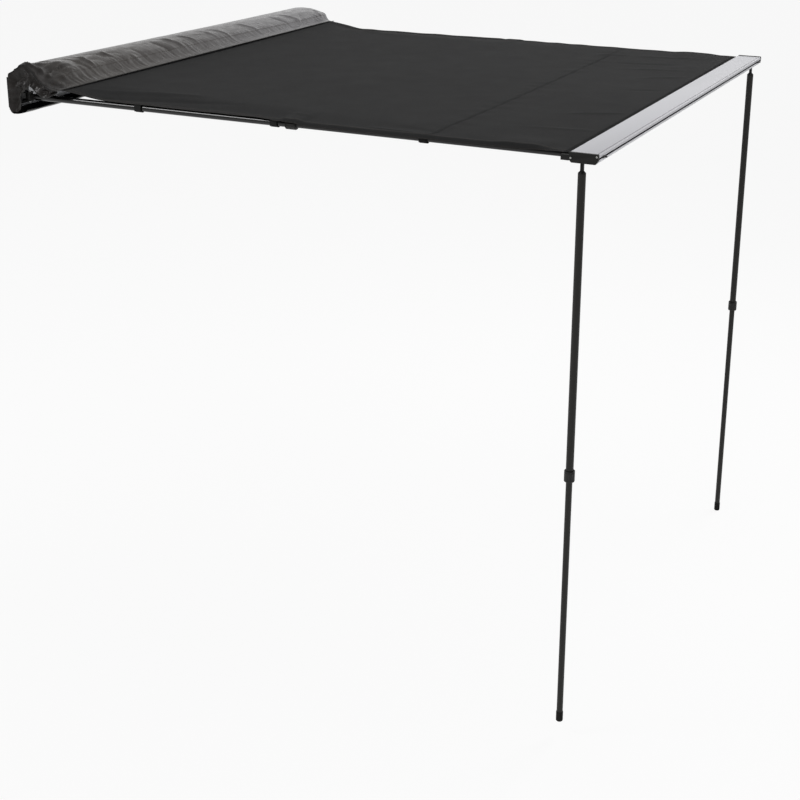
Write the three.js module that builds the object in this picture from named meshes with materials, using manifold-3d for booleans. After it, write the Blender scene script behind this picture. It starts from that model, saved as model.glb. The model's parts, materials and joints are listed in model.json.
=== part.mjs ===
// A pull-out rear vehicle awning, shown open with both legs down.
// Millimetres. +X runs from the near side to the far side, +Y points to the vehicle, +Z is up.
// The origin is the middle of the backboard's mounting face.
import * as THREE from 'three';
import { mergeVertices } from 'three/addons/utils/BufferGeometryUtils.js';
import Module from 'manifold-3d';

const wasm = await Module();
wasm.setup();

// Driving dimensions
const awningWidth = 2000; // over the end caps, along X
const mountHeight = 1980; // from the ground to the origin
const projection = 2170; // from the mounting face to the middle of the front rail

// Clearances
const gap = 0.3; // between pieces that touch
const overrun = 3; // how far a cutter passes the face that it cuts
const forkPlay = 0.6; // above and below the arm's tongue in its fork

// Backboard extrusion
const boardDepth = 24;
const boardHeight = 110;
const boardCorner = 2.5;
const boardWall = 3;
const boardCapThickness = 8;
const boltSlotOffset = 27.5; // the two bolt slots lie this far above and below the middle
const boltSlotOpening = 6.6;
const boltSlotLip = 2;
const boltSlotCavity = 11.5;
const boltSlotDepth = 8;
const boardTrackHeight = 38; // the canopy's track in the front face
const bagTrackInset = 7; // the bag's tracks in the top and bottom faces, from the mounting face
const portDepth = 16;
const portOffset = 28;

// Keder tracks and their beads, in the backboard and in the front rail
const trackRadius = 3.4;
const trackInset = 4.9; // from the face to the middle of the track
const trackSlot = 2.4;
const portRadius = 2.1;

// Front rail extrusion
const railDepth = 92;
const railHeight = 30;
const railCorner = 1.6;
const railPlate = 2;
const railSide = 10; // thickness of each hollow side
const railSideWall = 2;
const railTrackDrop = 5.1;
const grooveDrop = 14;
const grooveOpening = 3.8;
const grooveLip = 1.8;
const grooveCavity = 7;
const grooveDepth = 6.4;
const frontPortDrop = 6.4;
const rearPortDrop = 16.5;
const portInset = 5; // from the rail's face
const railChamberHeight = 8.4;
const plateRib = 1.4; // two stiffening ribs under the top plate

// Front rail end caps
const capThickness = 10;
const capCorner = 3;
const capChamfer = 8;
const capFlange = 8; // how far the cap reaches into the leg bay
const capFlangeWall = 2.4;
const capScrewHead = 4;
const capScrewHeadHeight = 2.6;
const capScrewSink = 3;
const capScrewShank = 1.7;
const capScrewLength = 22;
const headBevel = 1.1; // round the heads of the screws and bolts
const screwRingWidth = 1.6;
const screwRingHeight = 0.8;

// Side arms
const armInset = 45; // from the end of the awning to the arm's axis
const armDrop = 16; // from the rail's top to the arm's axis
const pivotReach = 60; // from the mounting face to the arm's pivot
const pivotRakeDegrees = 1.1; // the pivots lean, so that a swung arm passes under the other one
const armOuterRadius = 11;
const armInnerRadius = 9.5;
const armTubeWall = 1.1;
const armCollarReach = 1147; // from the mounting face to the middle of the lock collar
const armOverlap = 110; // how much of the inner tube stays inside the outer one
const eyeRadius = 13;
const eyeHeight = 25.4;
const knuckleShoulderReach = 26;
const shoulderThickness = 4;
const knucklePlug = 44;
const knuckleNeckWidth = 17;
const tipPlug = 34;
const tipShoulder = 5;
const tipSetback = 14; // from the rail's rear face to the arm's hook pin
const tongueThickness = 10;
const tongueRadius = 9;
const tongueNeck = 15;
const hookPinRadius = 4;
const forkPlate = 3;
const forkInnerReach = 12; // past the hook pin, toward the middle of the awning
const forkRearReach = 12; // past the hook pin, toward the vehicle
const forkWeb = 3;

// Arm brackets and their fasteners
const bracketPlate = 4;
const bracketWidth = 74;
const bracketHeight = 56;
const bracketCorner = 5;
const earWidth = 30;
const rivetRadius = 4;
const rivetHeadRadius = 7;
const rivetHeadHeight = 2.2;
const bracketBoltOffset = 26;
const bracketBoltRise = 6; // above the arm's axis
const bracketBoltRadius = 3;
const bracketBoltHead = 5.5;
const bracketBoltHeadHeight = 3.6;
const bracketBoltLength = 17;

// Twist locks, the same on arms and legs but for the tubes that they grip
const lockLength = 39;
const lockLobes = 12;
const lockFluteDepth = 1.1;
const lockChamfer = 3;
const lockSeat = 5; // the outer tube ends this far past the middle of its lock collar
const ferruleWall = 1.8;
const ferruleSleeve = 24; // how far the ferrule covers the outer tube
const ferruleCollet = 11; // how far its fingers reach past the outer tube
const colletSlit = 1.6;
const colletSlits = 4;
const colletRootShare = 0.33; // of the fingers' length, left whole at their root
const armLockRadius = 17;
const legLockRadius = 17.5;

// Legs
const legInset = 40; // from the end of the awning to the leg's axis
const legOffset = 16.5; // the legs fold side by side, this far each side of the rail's middle
const legPivotDrop = 16;
const legShoulderDrop = 71;
const legCollarDrop = 1065;
const legOuterRadius = 12.5;
const legInnerRadius = 10.5;
const legTubeWall = 1.2;
const legOverlap = 110;
const farLegExtension = 56; // the far leg stands pulled out this much further than the near one
const legNeckThickness = 12;
const legNeckWidth = 9;
const legNeckFlare = 20; // the neck widens to the tube's size over this height
const legNeckPlug = 36;
const legShoulder = 3;
const legPinRadius = 3;
const legPinHead = 5;
const legPinHeadHeight = 1.6;
const footHeight = 37;
const footRadius = 11.9;
const footSole = 7;
// The sole's rounded edge, as shares of the foot's radius and of the sole's thickness.
const footEdgeShares = [[0, 0], [0.62, 0], [0.9, 0.22], [1, 0.7]];
const footGroove = 0.7;
const footGroovePitch = 7;
const bushLength = 22;
const bushLip = 6;

// Leg blocks in the rail's bay
const blockLength = 40;
const blockPlate = 3;
const cheekThickness = 3.6;
const cheekDepth = 27;
const cheekCorner = 7;
const stopThickness = 4;
const stopRise = 10;

// Guy loops in the rail's front groove
const loopInset = 52;
const loopRadius = 7;
const loopWire = 1.5;
const loopFootLength = 20;
const loopFootPlate = 1.6;

// Canopy
const canopyInset = 16; // from the end of the awning to the canopy's side hem
const canopyThickness = 1;
const canopyBackRise = 20; // at the bag's front edge, above the rail's top
const canopySag = 10;
const hemDroop = 3.5;
const hemWidth = 34;
const beadRadius = 2.9;

// Straps that tie the canopy to the arms
const strapWidth = 22;
const strapThickness = 1.2;
const strapPitch = 543; // the straps lie this far apart, and from the front rail's middle
const strapCount = 3;
const strapLooseness = 1.2;

// Travel bag, unzipped and lying open
const bagEndPlay = 4; // from the backboard's cap to the bag's end
const bagThickness = 2.4;
const bagReach = 225; // from the mounting face to the bag's front edge
const bagRearRise = 9;
const bagNearCrown = 62;
const bagFarCrown = 22;
const bagFloorDrop = 70;
const bagFloorReach = 80; // the short lower panel carries the other half of the zip
const bagLip = 10;
const bagBeadInset = 16; // from the bag's ends to the ends of its beads
const bagCrownFullness = 0.75; // below 1 the crown is fuller than a sine arch
// The lower edge of each end panel, as shares of the bag's reach and of its floor's drop. The far one
// has a notch through which the near arm passes when it swings in while pulled out.
const bagEndShares = {
  near: [[1, -0.3], [0.92, -0.2], [0.76, 0], [0.62, -0.4], [0.46, -0.8], [0.32, -0.4], [0.28, 0.2],
    [bagFloorReach / bagReach, 1], [bagTrackInset / bagReach, 1]],
  far: [[1, -0.3], [0.8, -0.1], [0.5, -0.6], [0.34, 0.2], [0.32, 0.48], [0.2, 0.52], [0.18, 1],
    [bagTrackInset / bagReach, 1]],
};

// Fineness of the round forms
const tubeSides = 20;
const pinSides = 12;
const holeSides = 12;
const lobeSteps = 4; // round one lobe of a lock collar
const cornerSteps = 3;
const trackSteps = 10;
const loopSides = 6;
const loopSteps = 16;
const clothStepsAcross = 14;
const clothStepsOut = 16;
const bagStepsAlong = 6;
const bagStepsOver = 12;

const sides = { near: -1, far: 1 };
const halfWidth = awningWidth / 2;
const armX = halfWidth - armInset;
const legX = halfWidth - legInset;
const railRear = railDepth / 2 - projection;
const hookY = railRear + tipSetback;
const rake = THREE.MathUtils.degToRad(pivotRakeDegrees);

const materials = {
  anodised: new THREE.MeshStandardMaterial({ color: 0xb9bcbf, roughness: 0.34, metalness: 0.85 }),
  blackTube: new THREE.MeshStandardMaterial({ color: 0x34322f, roughness: 0.42, metalness: 0.4 }),
  plastic: new THREE.MeshStandardMaterial({ color: 0x1c1c1d, roughness: 0.55, metalness: 0 }),
  rubber: new THREE.MeshStandardMaterial({ color: 0x141414, roughness: 0.85, metalness: 0 }),
  steel: new THREE.MeshStandardMaterial({ color: 0xa8aaad, roughness: 0.3, metalness: 1 }),
  canvas: new THREE.MeshStandardMaterial({ color: 0x3a3a3a, roughness: 0.9, metalness: 0 }),
  vinyl: new THREE.MeshStandardMaterial({ color: 0x6c6d70, roughness: 0.38, metalness: 0 }),
  webbing: new THREE.MeshStandardMaterial({ color: 0x232323, roughness: 0.9, metalness: 0 }),
};

/** Turns a closed three.js geometry into a manifold solid that faces out. */
function solid(geometry) {
  const bare = geometry.clone();
  bare.deleteAttribute('normal');
  bare.deleteAttribute('uv');
  const merged = mergeVertices(bare);
  const position = merged.attributes.position;
  const index = merged.index.array;
  const corner = [new THREE.Vector3(), new THREE.Vector3(), new THREE.Vector3()];
  const kept = [];
  let volume = 0;
  for (let i = 0; i < index.length; i += 3) {
    const triangle = [index[i], index[i + 1], index[i + 2]];
    if (new Set(triangle).size < 3) continue;
    triangle.forEach((vertex, k) => corner[k].fromBufferAttribute(position, vertex));
    volume += corner[0].dot(corner[1].clone().cross(corner[2]));
    kept.push(triangle);
  }
  const facingOut = volume > 0 ? kept : kept.map(([a, b, c]) => [a, c, b]);
  return new wasm.Manifold(new wasm.Mesh({
    numProp: 3,
    vertProperties: Float32Array.from(position.array),
    triVerts: Uint32Array.from(facingOut.flat()),
  }));
}

/** Turns a manifold solid back into a three.js geometry. */
function geometryOf(body) {
  const { vertProperties, triVerts } = body.getMesh();
  const geometry = new THREE.BufferGeometry();
  geometry.setAttribute('position', new THREE.BufferAttribute(vertProperties, 3));
  geometry.setIndex(new THREE.BufferAttribute(triVerts, 1));
  return geometry;
}

/** Joins geometries into one solid. */
const fuse = (...parts) => parts.map(solid).reduce((whole, part) => whole.add(part));

/** Cuts the tool geometries out of a solid. */
const cut = (body, ...tools) => tools.map(solid).reduce((rest, tool) => rest.subtract(tool), body);

/** Mirrors a geometry in X for the far side; the near side is the one that is drawn. */
function handed(geometry, side) {
  return side === sides.near ? geometry : geometry.clone().scale(-1, 1, 1);
}

/** A closed outline through corners [u, v, radius]; a corner with a radius is rounded. */
function outline(corners, Kind = THREE.Shape) {
  const path = new Kind();
  const at = (i) => new THREE.Vector2(...corners[(i + corners.length) % corners.length]);
  corners.forEach(([u, v, radius = 0], i) => {
    const arriving = at(i).sub(at(i - 1)).normalize();
    const leaving = at(i + 1).sub(at(i)).normalize();
    const reach = radius * Math.tan(arriving.angleTo(leaving) / 2);
    const start = at(i).addScaledVector(arriving, -reach);
    const end = at(i).addScaledVector(leaving, reach);
    if (i === 0) path.moveTo(start.x, start.y);
    else path.lineTo(start.x, start.y);
    if (radius > 0) path.quadraticCurveTo(u, v, end.x, end.y);
  });
  path.closePath();
  return path;
}

/** A rectangle from its two corners, with rounded corners. */
function rectangle(left, bottom, right, top, radius = 0, Kind = THREE.Shape) {
  return outline([[left, bottom, radius], [right, bottom, radius], [right, top, radius], [left, top, radius]], Kind);
}

/** A round hole in a shape. */
function roundHole(u, v, radius) {
  const angles = Array.from({ length: holeSides }, (_, i) => (2 * Math.PI * i) / holeSides);
  return outline(angles.map((angle) => [u + radius * Math.cos(angle), v + radius * Math.sin(angle)]), THREE.Path);
}

/** Corner points of a notch, given as [outward, along] steps from a point on a face of an outline. */
function notch(face, outward, steps) {
  const along = new THREE.Vector2(-outward.y, outward.x);
  return steps.map(([out, travel]) => {
    const point = face.clone().addScaledVector(outward, out).addScaledVector(along, travel);
    return [point.x, point.y];
  });
}

/** A keder track: a round channel behind a narrow slot. */
function trackNotch(face, outward) {
  const half = trackSlot / 2;
  const mouth = Math.asin(half / trackRadius);
  const arc = Array.from({ length: trackSteps + 1 }, (_, i) => {
    const angle = -mouth - ((2 * Math.PI - 2 * mouth) * i) / trackSteps;
    return [trackRadius * Math.cos(angle) - trackInset, trackRadius * Math.sin(angle)];
  });
  return notch(face, outward, [[0, -half], ...arc, [0, half]]);
}

/** A T-shaped slot behind two lips. */
function slotNotch(face, outward, opening, lip, cavity, depth) {
  return notch(face, outward, [
    [0, -opening / 2], [-lip, -opening / 2], [-lip, -cavity / 2], [-depth, -cavity / 2],
    [-depth, cavity / 2], [-lip, cavity / 2], [-lip, opening / 2], [0, opening / 2],
  ]);
}

const alongX = new THREE.Matrix4().makeBasis(
  new THREE.Vector3(0, 1, 0), new THREE.Vector3(0, 0, 1), new THREE.Vector3(1, 0, 0));

/** Extrudes a shape; a shape drawn in Y and Z runs along X, and one in X and Z along Y. */
function prism(shape, axis, from, to) {
  const geometry = new THREE.ExtrudeGeometry(shape,
    { depth: Math.abs(to - from), bevelEnabled: false, curveSegments: cornerSteps });
  if (axis === 'x') return geometry.applyMatrix4(alongX).translate(Math.min(from, to), 0, 0);
  if (axis === 'y') return geometry.rotateX(Math.PI / 2).translate(0, Math.max(from, to), 0);
  return geometry.translate(0, 0, Math.min(from, to));
}

/** A box between two corners. */
function block(x0, x1, y0, y1, z0, z1) {
  return new THREE.BoxGeometry(Math.abs(x1 - x0), Math.abs(y1 - y0), Math.abs(z1 - z0))
    .translate((x0 + x1) / 2, (y0 + y1) / 2, (z0 + z1) / 2);
}

/** Turns a profile of [radius, place] points round the Y or the Z axis. */
function turned(axis, profile, segments = tubeSides) {
  const geometry = new THREE.LatheGeometry(profile.map(([r, place]) => new THREE.Vector2(r, place)), segments);
  return axis === 'z' ? geometry.rotateX(Math.PI / 2) : geometry;
}

/** A round bar. */
const bar = (axis, radius, from, to, segments = pinSides) => turned(axis,
  [[0, from], [radius, from], [radius, to], [0, to]], segments);

/** A round tube. */
const pipe = (axis, outer, inner, from, to) => turned(axis,
  [[inner, from], [outer, from], [outer, to], [inner, to], [inner, from]]);

/** A closed sheet of even thickness; place(s, t) is its middle surface, for s and t from 0 to 1. */
function sheet(place, stepsS, stepsT, thickness) {
  const point = (i, j) => place(i / stepsS, j / stepsT);
  const positions = [];
  for (const face of [1, -1]) {
    for (let i = 0; i <= stepsS; i += 1) {
      for (let j = 0; j <= stepsT; j += 1) {
        const alongS = point(Math.min(i + 1, stepsS), j).sub(point(Math.max(i - 1, 0), j));
        const alongT = point(i, Math.min(j + 1, stepsT)).sub(point(i, Math.max(j - 1, 0)));
        const normal = alongS.cross(alongT).normalize();
        positions.push(...point(i, j).addScaledVector(normal, (face * thickness) / 2).toArray());
      }
    }
  }
  const layer = (stepsS + 1) * (stepsT + 1);
  const index = [];
  const quad = (a, b, c, d) => index.push(a, b, c, a, c, d);
  const id = (i, j) => i * (stepsT + 1) + j;
  for (let i = 0; i < stepsS; i += 1) {
    for (let j = 0; j < stepsT; j += 1) {
      quad(id(i, j), id(i + 1, j), id(i + 1, j + 1), id(i, j + 1));
      quad(layer + id(i, j), layer + id(i, j + 1), layer + id(i + 1, j + 1), layer + id(i + 1, j));
    }
  }
  const edge = (a, b) => quad(a, layer + a, layer + b, b);
  for (let i = 0; i < stepsS; i += 1) {
    edge(id(i, 0), id(i + 1, 0));
    edge(id(i + 1, stepsT), id(i, stepsT));
  }
  for (let j = 0; j < stepsT; j += 1) {
    edge(id(0, j + 1), id(0, j));
    edge(id(stepsS, j), id(stepsS, j + 1));
  }
  const geometry = new THREE.BufferGeometry();
  geometry.setAttribute('position', new THREE.Float32BufferAttribute(positions, 3));
  geometry.setIndex(index);
  return geometry;
}

const awning = new THREE.Group();
awning.name = 'rear_vehicle_awning';

/** Adds one named piece; its solid or geometry is drawn in the awning's own frame unless it is moved. */
function add(name, shape, material, position = [0, 0, 0]) {
  const geometry = shape.isBufferGeometry ? geometryOf(solid(shape)) : geometryOf(shape);
  geometry.computeVertexNormals();
  const mesh = new THREE.Mesh(geometry, material);
  mesh.name = name;
  mesh.position.set(...position);
  awning.add(mesh);
}

/** The backboard's section, with two bolt slots in its mounting face and three keder tracks. */
function boardSection() {
  const low = -boardHeight / 2;
  const high = boardHeight / 2;
  const rear = new THREE.Vector2(1, 0);
  const boltSlot = (z) => slotNotch(new THREE.Vector2(0, z), rear,
    boltSlotOpening, boltSlotLip, boltSlotCavity, boltSlotDepth);
  const section = outline([
    [-boardDepth, low, boardCorner],
    ...trackNotch(new THREE.Vector2(-bagTrackInset, low), new THREE.Vector2(0, -1)),
    [0, low, boardCorner],
    ...boltSlot(-boltSlotOffset),
    ...boltSlot(boltSlotOffset),
    [0, high, boardCorner],
    ...trackNotch(new THREE.Vector2(-bagTrackInset, high), new THREE.Vector2(0, 1)),
    [-boardDepth, high, boardCorner],
    ...trackNotch(new THREE.Vector2(-boardDepth, boardTrackHeight), new THREE.Vector2(-1, 0)),
  ]);
  const slotEdge = boltSlotOffset - boltSlotCavity / 2 - boardWall;
  const trackDepth = trackInset + trackRadius + boardWall;
  section.holes.push(
    rectangle(boardWall - boardDepth, -slotEdge, -boardWall, slotEdge, boardCorner, THREE.Path),
    rectangle(boardWall - boardDepth, low + trackDepth, -boardWall,
      -boltSlotOffset - boltSlotCavity / 2 - boardWall, 0, THREE.Path),
    roundHole(-portDepth, portOffset, portRadius),
    roundHole(-portDepth, -portOffset, portRadius));
  return section;
}

/** The long backboard that bolts to the vehicle's rack, and its two end caps. */
function addBackboard() {
  const end = halfWidth - boardCapThickness - gap;
  const boltHoles = Object.values(sides).map((side) => bar('y', bracketBoltRadius + gap,
    -boardDepth - overrun, -boardDepth + boardWall + overrun)
    .translate(side * (armX - bracketBoltOffset), 0, bracketBoltRise - armDrop));
  add('backboard', cut(solid(prism(boardSection(), 'x', -end, end)), ...boltHoles), materials.anodised);
  const capShape = rectangle(-boardDepth, -boardHeight / 2, 0, boardHeight / 2, boardCorner);
  for (const [name, side] of Object.entries(sides)) {
    const inner = side * (halfWidth - boardCapThickness);
    const plugs = [portOffset, -portOffset].map((z) => bar('y', portRadius - gap, 0, boardCapThickness + boardWall)
      .rotateZ(side * Math.PI / 2).translate(side * (halfWidth - boardWall), -portDepth, z));
    add(`backboard_cap_${name}`, fuse(prism(capShape, 'x', inner, side * halfWidth), ...plugs), materials.plastic);
  }
}

/** A clevis bracket for one arm, its ears raked with the pivot, with its rivet and its bolt. */
function addArmBracket(name, side) {
  const front = -boardDepth - gap;
  const base = prism(rectangle(-bracketWidth / 2, -bracketHeight / 2, bracketWidth / 2, bracketHeight / 2,
    bracketCorner), 'y', front, front - bracketPlate);
  const earShape = outline([
    [-earWidth / 2, front - bracketPlate / 2], [-earWidth / 2, -pivotReach],
    [-earWidth / 2, -pivotReach - earWidth / 2, earWidth / 2], [earWidth / 2, -pivotReach - earWidth / 2, earWidth / 2],
    [earWidth / 2, -pivotReach], [earWidth / 2, front - bracketPlate / 2],
  ]);
  const earGap = eyeHeight / 2 + gap;
  const raked = (geometry) => geometry.rotateY(-side * rake);
  const ears = [earGap, -earGap - bracketPlate].map((z) => raked(prism(earShape, 'z', z, z + bracketPlate)));
  const bore = raked(bar('z', rivetRadius + gap, -bracketHeight, bracketHeight).translate(0, -pivotReach, 0));
  const boltHole = bar('y', bracketBoltRadius + gap, front + overrun, front - bracketPlate - overrun)
    .translate(-side * bracketBoltOffset, 0, bracketBoltRise);
  const place = [side * armX, 0, -armDrop];
  add(`arm_bracket_${name}`, cut(fuse(base, ...ears), bore, boltHole), materials.blackTube, place);

  const seat = earGap + bracketPlate + gap;
  const rivet = turned('z', [[0, -seat - rivetHeadHeight], [rivetHeadRadius, -seat - rivetHeadHeight],
    [rivetHeadRadius, -seat], [rivetRadius, -seat], [rivetRadius, seat], [rivetHeadRadius, seat],
    [rivetHeadRadius, seat + rivetHeadHeight], [0, seat + rivetHeadHeight]], pinSides);
  add(`arm_pivot_rivet_${name}`, raked(rivet.translate(0, -pivotReach, 0)), materials.steel, place);

  const headSeat = front - bracketPlate - gap;
  const bolt = turned('y', [[0, headSeat - bracketBoltHeadHeight],
    [bracketBoltHead - headBevel, headSeat - bracketBoltHeadHeight], [bracketBoltHead, headSeat],
    [bracketBoltRadius, headSeat], [bracketBoltRadius, headSeat + bracketBoltLength],
    [0, headSeat + bracketBoltLength]], pinSides);
  add(`arm_bracket_bolt_${name}`, bolt, materials.steel, [side * (armX - bracketBoltOffset), 0, bracketBoltRise - armDrop]);
}

/** The ferrule at the end of an outer tube: a sleeve, a seat and slit fingers that grip the inner tube. */
function ferrule(outerRadius, innerRadius) {
  const sleeveInside = outerRadius + gap;
  const sleeveOutside = sleeveInside + ferruleWall;
  const fingerInside = innerRadius + gap;
  const body = turned('y', [[sleeveInside, ferruleSleeve], [sleeveOutside, ferruleSleeve], [sleeveOutside, 0],
    [outerRadius, -ferruleCollet], [fingerInside, -ferruleCollet], [fingerInside, -gap], [sleeveInside, -gap],
    [sleeveInside, ferruleSleeve]]);
  const slits = Array.from({ length: colletSlits / 2 }, (_, i) => block(-sleeveOutside - overrun,
    sleeveOutside + overrun, -ferruleCollet - overrun, -ferruleCollet * colletRootShare, -colletSlit / 2, colletSlit / 2)
    .rotateY((2 * Math.PI * (i + 1 / 2)) / colletSlits));
  return cut(solid(body), ...slits);
}

/** The fluted collar that turns on a ferrule to lock a telescopic tube. */
function lockCollar(radius, outerRadius, innerRadius) {
  const rim = Array.from({ length: lockLobes * lobeSteps }, (_, i) => {
    const angle = (2 * Math.PI * i) / (lockLobes * lobeSteps);
    const r = i % lobeSteps === 0 ? radius - lockFluteDepth : radius;
    return new THREE.Vector2(r * Math.cos(angle), r * Math.sin(angle));
  });
  const fluted = new THREE.ExtrudeGeometry(new THREE.Shape(rim), { depth: lockLength, bevelEnabled: false })
    .translate(0, 0, -lockLength / 2).rotateX(Math.PI / 2);
  const half = lockLength / 2;
  const envelope = turned('y', [[0, -half], [radius - lockChamfer, -half], [radius, lockChamfer - half],
    [radius, half - lockChamfer / 2], [radius - lockChamfer / 2, half], [0, half]], lockLobes * lobeSteps);
  const sleeve = outerRadius + gap + ferruleWall + gap;
  const bore = turned('y', [[0, half + overrun], [sleeve, half + overrun], [sleeve, -lockSeat],
    [outerRadius + gap, -lockSeat - ferruleCollet - gap], [innerRadius + gap, -lockSeat - ferruleCollet - gap],
    [innerRadius + gap, -half - overrun], [0, -half - overrun]]);
  return cut(solid(fluted).intersect(solid(envelope)), bore);
}

/** The place of a piece on an arm; its own middle line is the arm's axis. */
const armPlace = (side, y = 0) => [side * armX, y, -armDrop];

/** One telescopic arm: knuckle, outer tube, ferrule, lock collar, inner tube, bush and hook tip. */
function addArm(name, side) {
  const shoulder = -pivotReach - knuckleShoulderReach;
  const tubeInside = armOuterRadius - armTubeWall;
  const eye = bar('z', eyeRadius, -eyeHeight / 2, eyeHeight / 2, tubeSides).translate(0, -pivotReach, 0);
  const neck = block(-knuckleNeckWidth / 2, knuckleNeckWidth / 2, -pivotReach, shoulder - shoulderThickness / 2,
    -knuckleNeckWidth / 2, knuckleNeckWidth / 2);
  const flange = bar('y', armOuterRadius, shoulder - shoulderThickness, shoulder, tubeSides);
  const plug = turned('y', [[0, shoulder - shoulderThickness - knucklePlug],
    [tubeInside - armTubeWall, shoulder - shoulderThickness - knucklePlug],
    [tubeInside - gap, shoulder - shoulderThickness - knucklePlug + shoulderThickness],
    [tubeInside - gap, shoulder - shoulderThickness / 2], [0, shoulder - shoulderThickness / 2]]);
  const bore = bar('z', rivetRadius + gap, -eyeHeight, eyeHeight).translate(0, -pivotReach, 0);
  const knuckle = [eye, neck].map((piece) => piece.rotateY(-side * rake));
  add(`arm_knuckle_${name}`, cut(fuse(...knuckle, flange, plug), bore.rotateY(-side * rake)),
    materials.plastic, armPlace(side));

  const tubeStart = shoulder - shoulderThickness - gap;
  const tubeEnd = -armCollarReach - lockSeat;
  add(`arm_outer_tube_${name}`, pipe('y', armOuterRadius, tubeInside, tubeEnd + gap, tubeStart),
    materials.blackTube, armPlace(side));
  add(`arm_ferrule_${name}`, ferrule(armOuterRadius, armInnerRadius), materials.plastic, armPlace(side, tubeEnd));
  add(`arm_lock_collar_${name}`, lockCollar(armLockRadius, armOuterRadius, armInnerRadius), materials.plastic,
    armPlace(side, -armCollarReach));

  const tipStart = hookY + tongueRadius + forkRearReach;
  const innerRear = -armCollarReach + armOverlap;
  add(`arm_inner_tube_${name}`, pipe('y', armInnerRadius, armInnerRadius - armTubeWall, tipStart + tipShoulder + gap,
    innerRear), materials.blackTube, armPlace(side));
  add(`arm_bush_${name}`, slideBush('y', tubeInside, armInnerRadius, armTubeWall), materials.plastic,
    armPlace(side, innerRear));

  const tongue = fuse(
    bar('z', tongueRadius, -tongueThickness / 2, tongueThickness / 2, tubeSides).translate(0, hookY, 0),
    block(-tongueNeck / 2, tongueNeck / 2, hookY, tipStart + tipShoulder / 2,
      -tongueThickness / 2, tongueThickness / 2),
    bar('z', hookPinRadius, -tongueThickness / 2 - forkPlate - forkPlay, tongueThickness / 2 + forkPlate + forkPlay)
      .translate(0, hookY, 0),
    bar('y', armInnerRadius, tipStart, tipStart + tipShoulder, tubeSides),
    bar('y', armInnerRadius - armTubeWall - gap, tipStart, tipStart + tipShoulder + tipPlug, tubeSides));
  add(`arm_tip_${name}`, tongue, materials.plastic, armPlace(side));
}

/** The bush on the hidden end of an inner tube: it guides that end in the outer tube. */
function slideBush(axis, outerTubeInside, innerRadius, innerWall) {
  const plug = innerRadius - innerWall - gap;
  const guide = outerTubeInside - gap;
  return turned(axis, [[0, -bushLength], [plug, -bushLength], [plug, gap], [guide, gap], [guide, bushLip],
    [guide - innerWall, bushLip + innerWall], [0, bushLip + innerWall]]);
}

/** The front rail's section: a top plate, two hollow sides, a keder track and a groove, open below. */
function railSection() {
  const half = railDepth / 2;
  const bay = half - railSide;
  const rib = plateRib;
  const section = outline([
    [-half, -railHeight, railCorner], [-bay, -railHeight], [-bay, -railPlate],
    [-bay / 3 - rib, -railPlate], [-bay / 3, -railPlate - rib], [-bay / 3 + rib, -railPlate],
    [bay / 3 - rib, -railPlate], [bay / 3, -railPlate - rib], [bay / 3 + rib, -railPlate],
    [bay, -railPlate], [bay, -railHeight], [half, -railHeight, railCorner],
    ...trackNotch(new THREE.Vector2(half, -railTrackDrop), new THREE.Vector2(1, 0)),
    [half, 0, railCorner], [-half, 0, railCorner],
    ...slotNotch(new THREE.Vector2(-half, -grooveDrop), new THREE.Vector2(-1, 0),
      grooveOpening, grooveLip, grooveCavity, grooveDepth),
  ]);
  const chamberTop = -railHeight + railSideWall + railChamberHeight;
  for (const middle of [-half + railSide / 2, half - railSide / 2]) {
    const reach = railSide / 2 - railSideWall;
    section.holes.push(rectangle(middle - reach, -railHeight + railSideWall, middle + reach, chamberTop,
      railCorner / 2, THREE.Path));
  }
  section.holes.push(
    roundHole(-half + portInset, -frontPortDrop, portRadius),
    roundHole(half - portInset, -rearPortDrop, portRadius));
  return section;
}

/** The places of a cap's two screws, as [Y from the rail's middle, Z]. */
const capScrewPlaces = {
  front: [-railDepth / 2 + portInset, -frontPortDrop],
  rear: [railDepth / 2 - portInset, -rearPortDrop],
};

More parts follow.
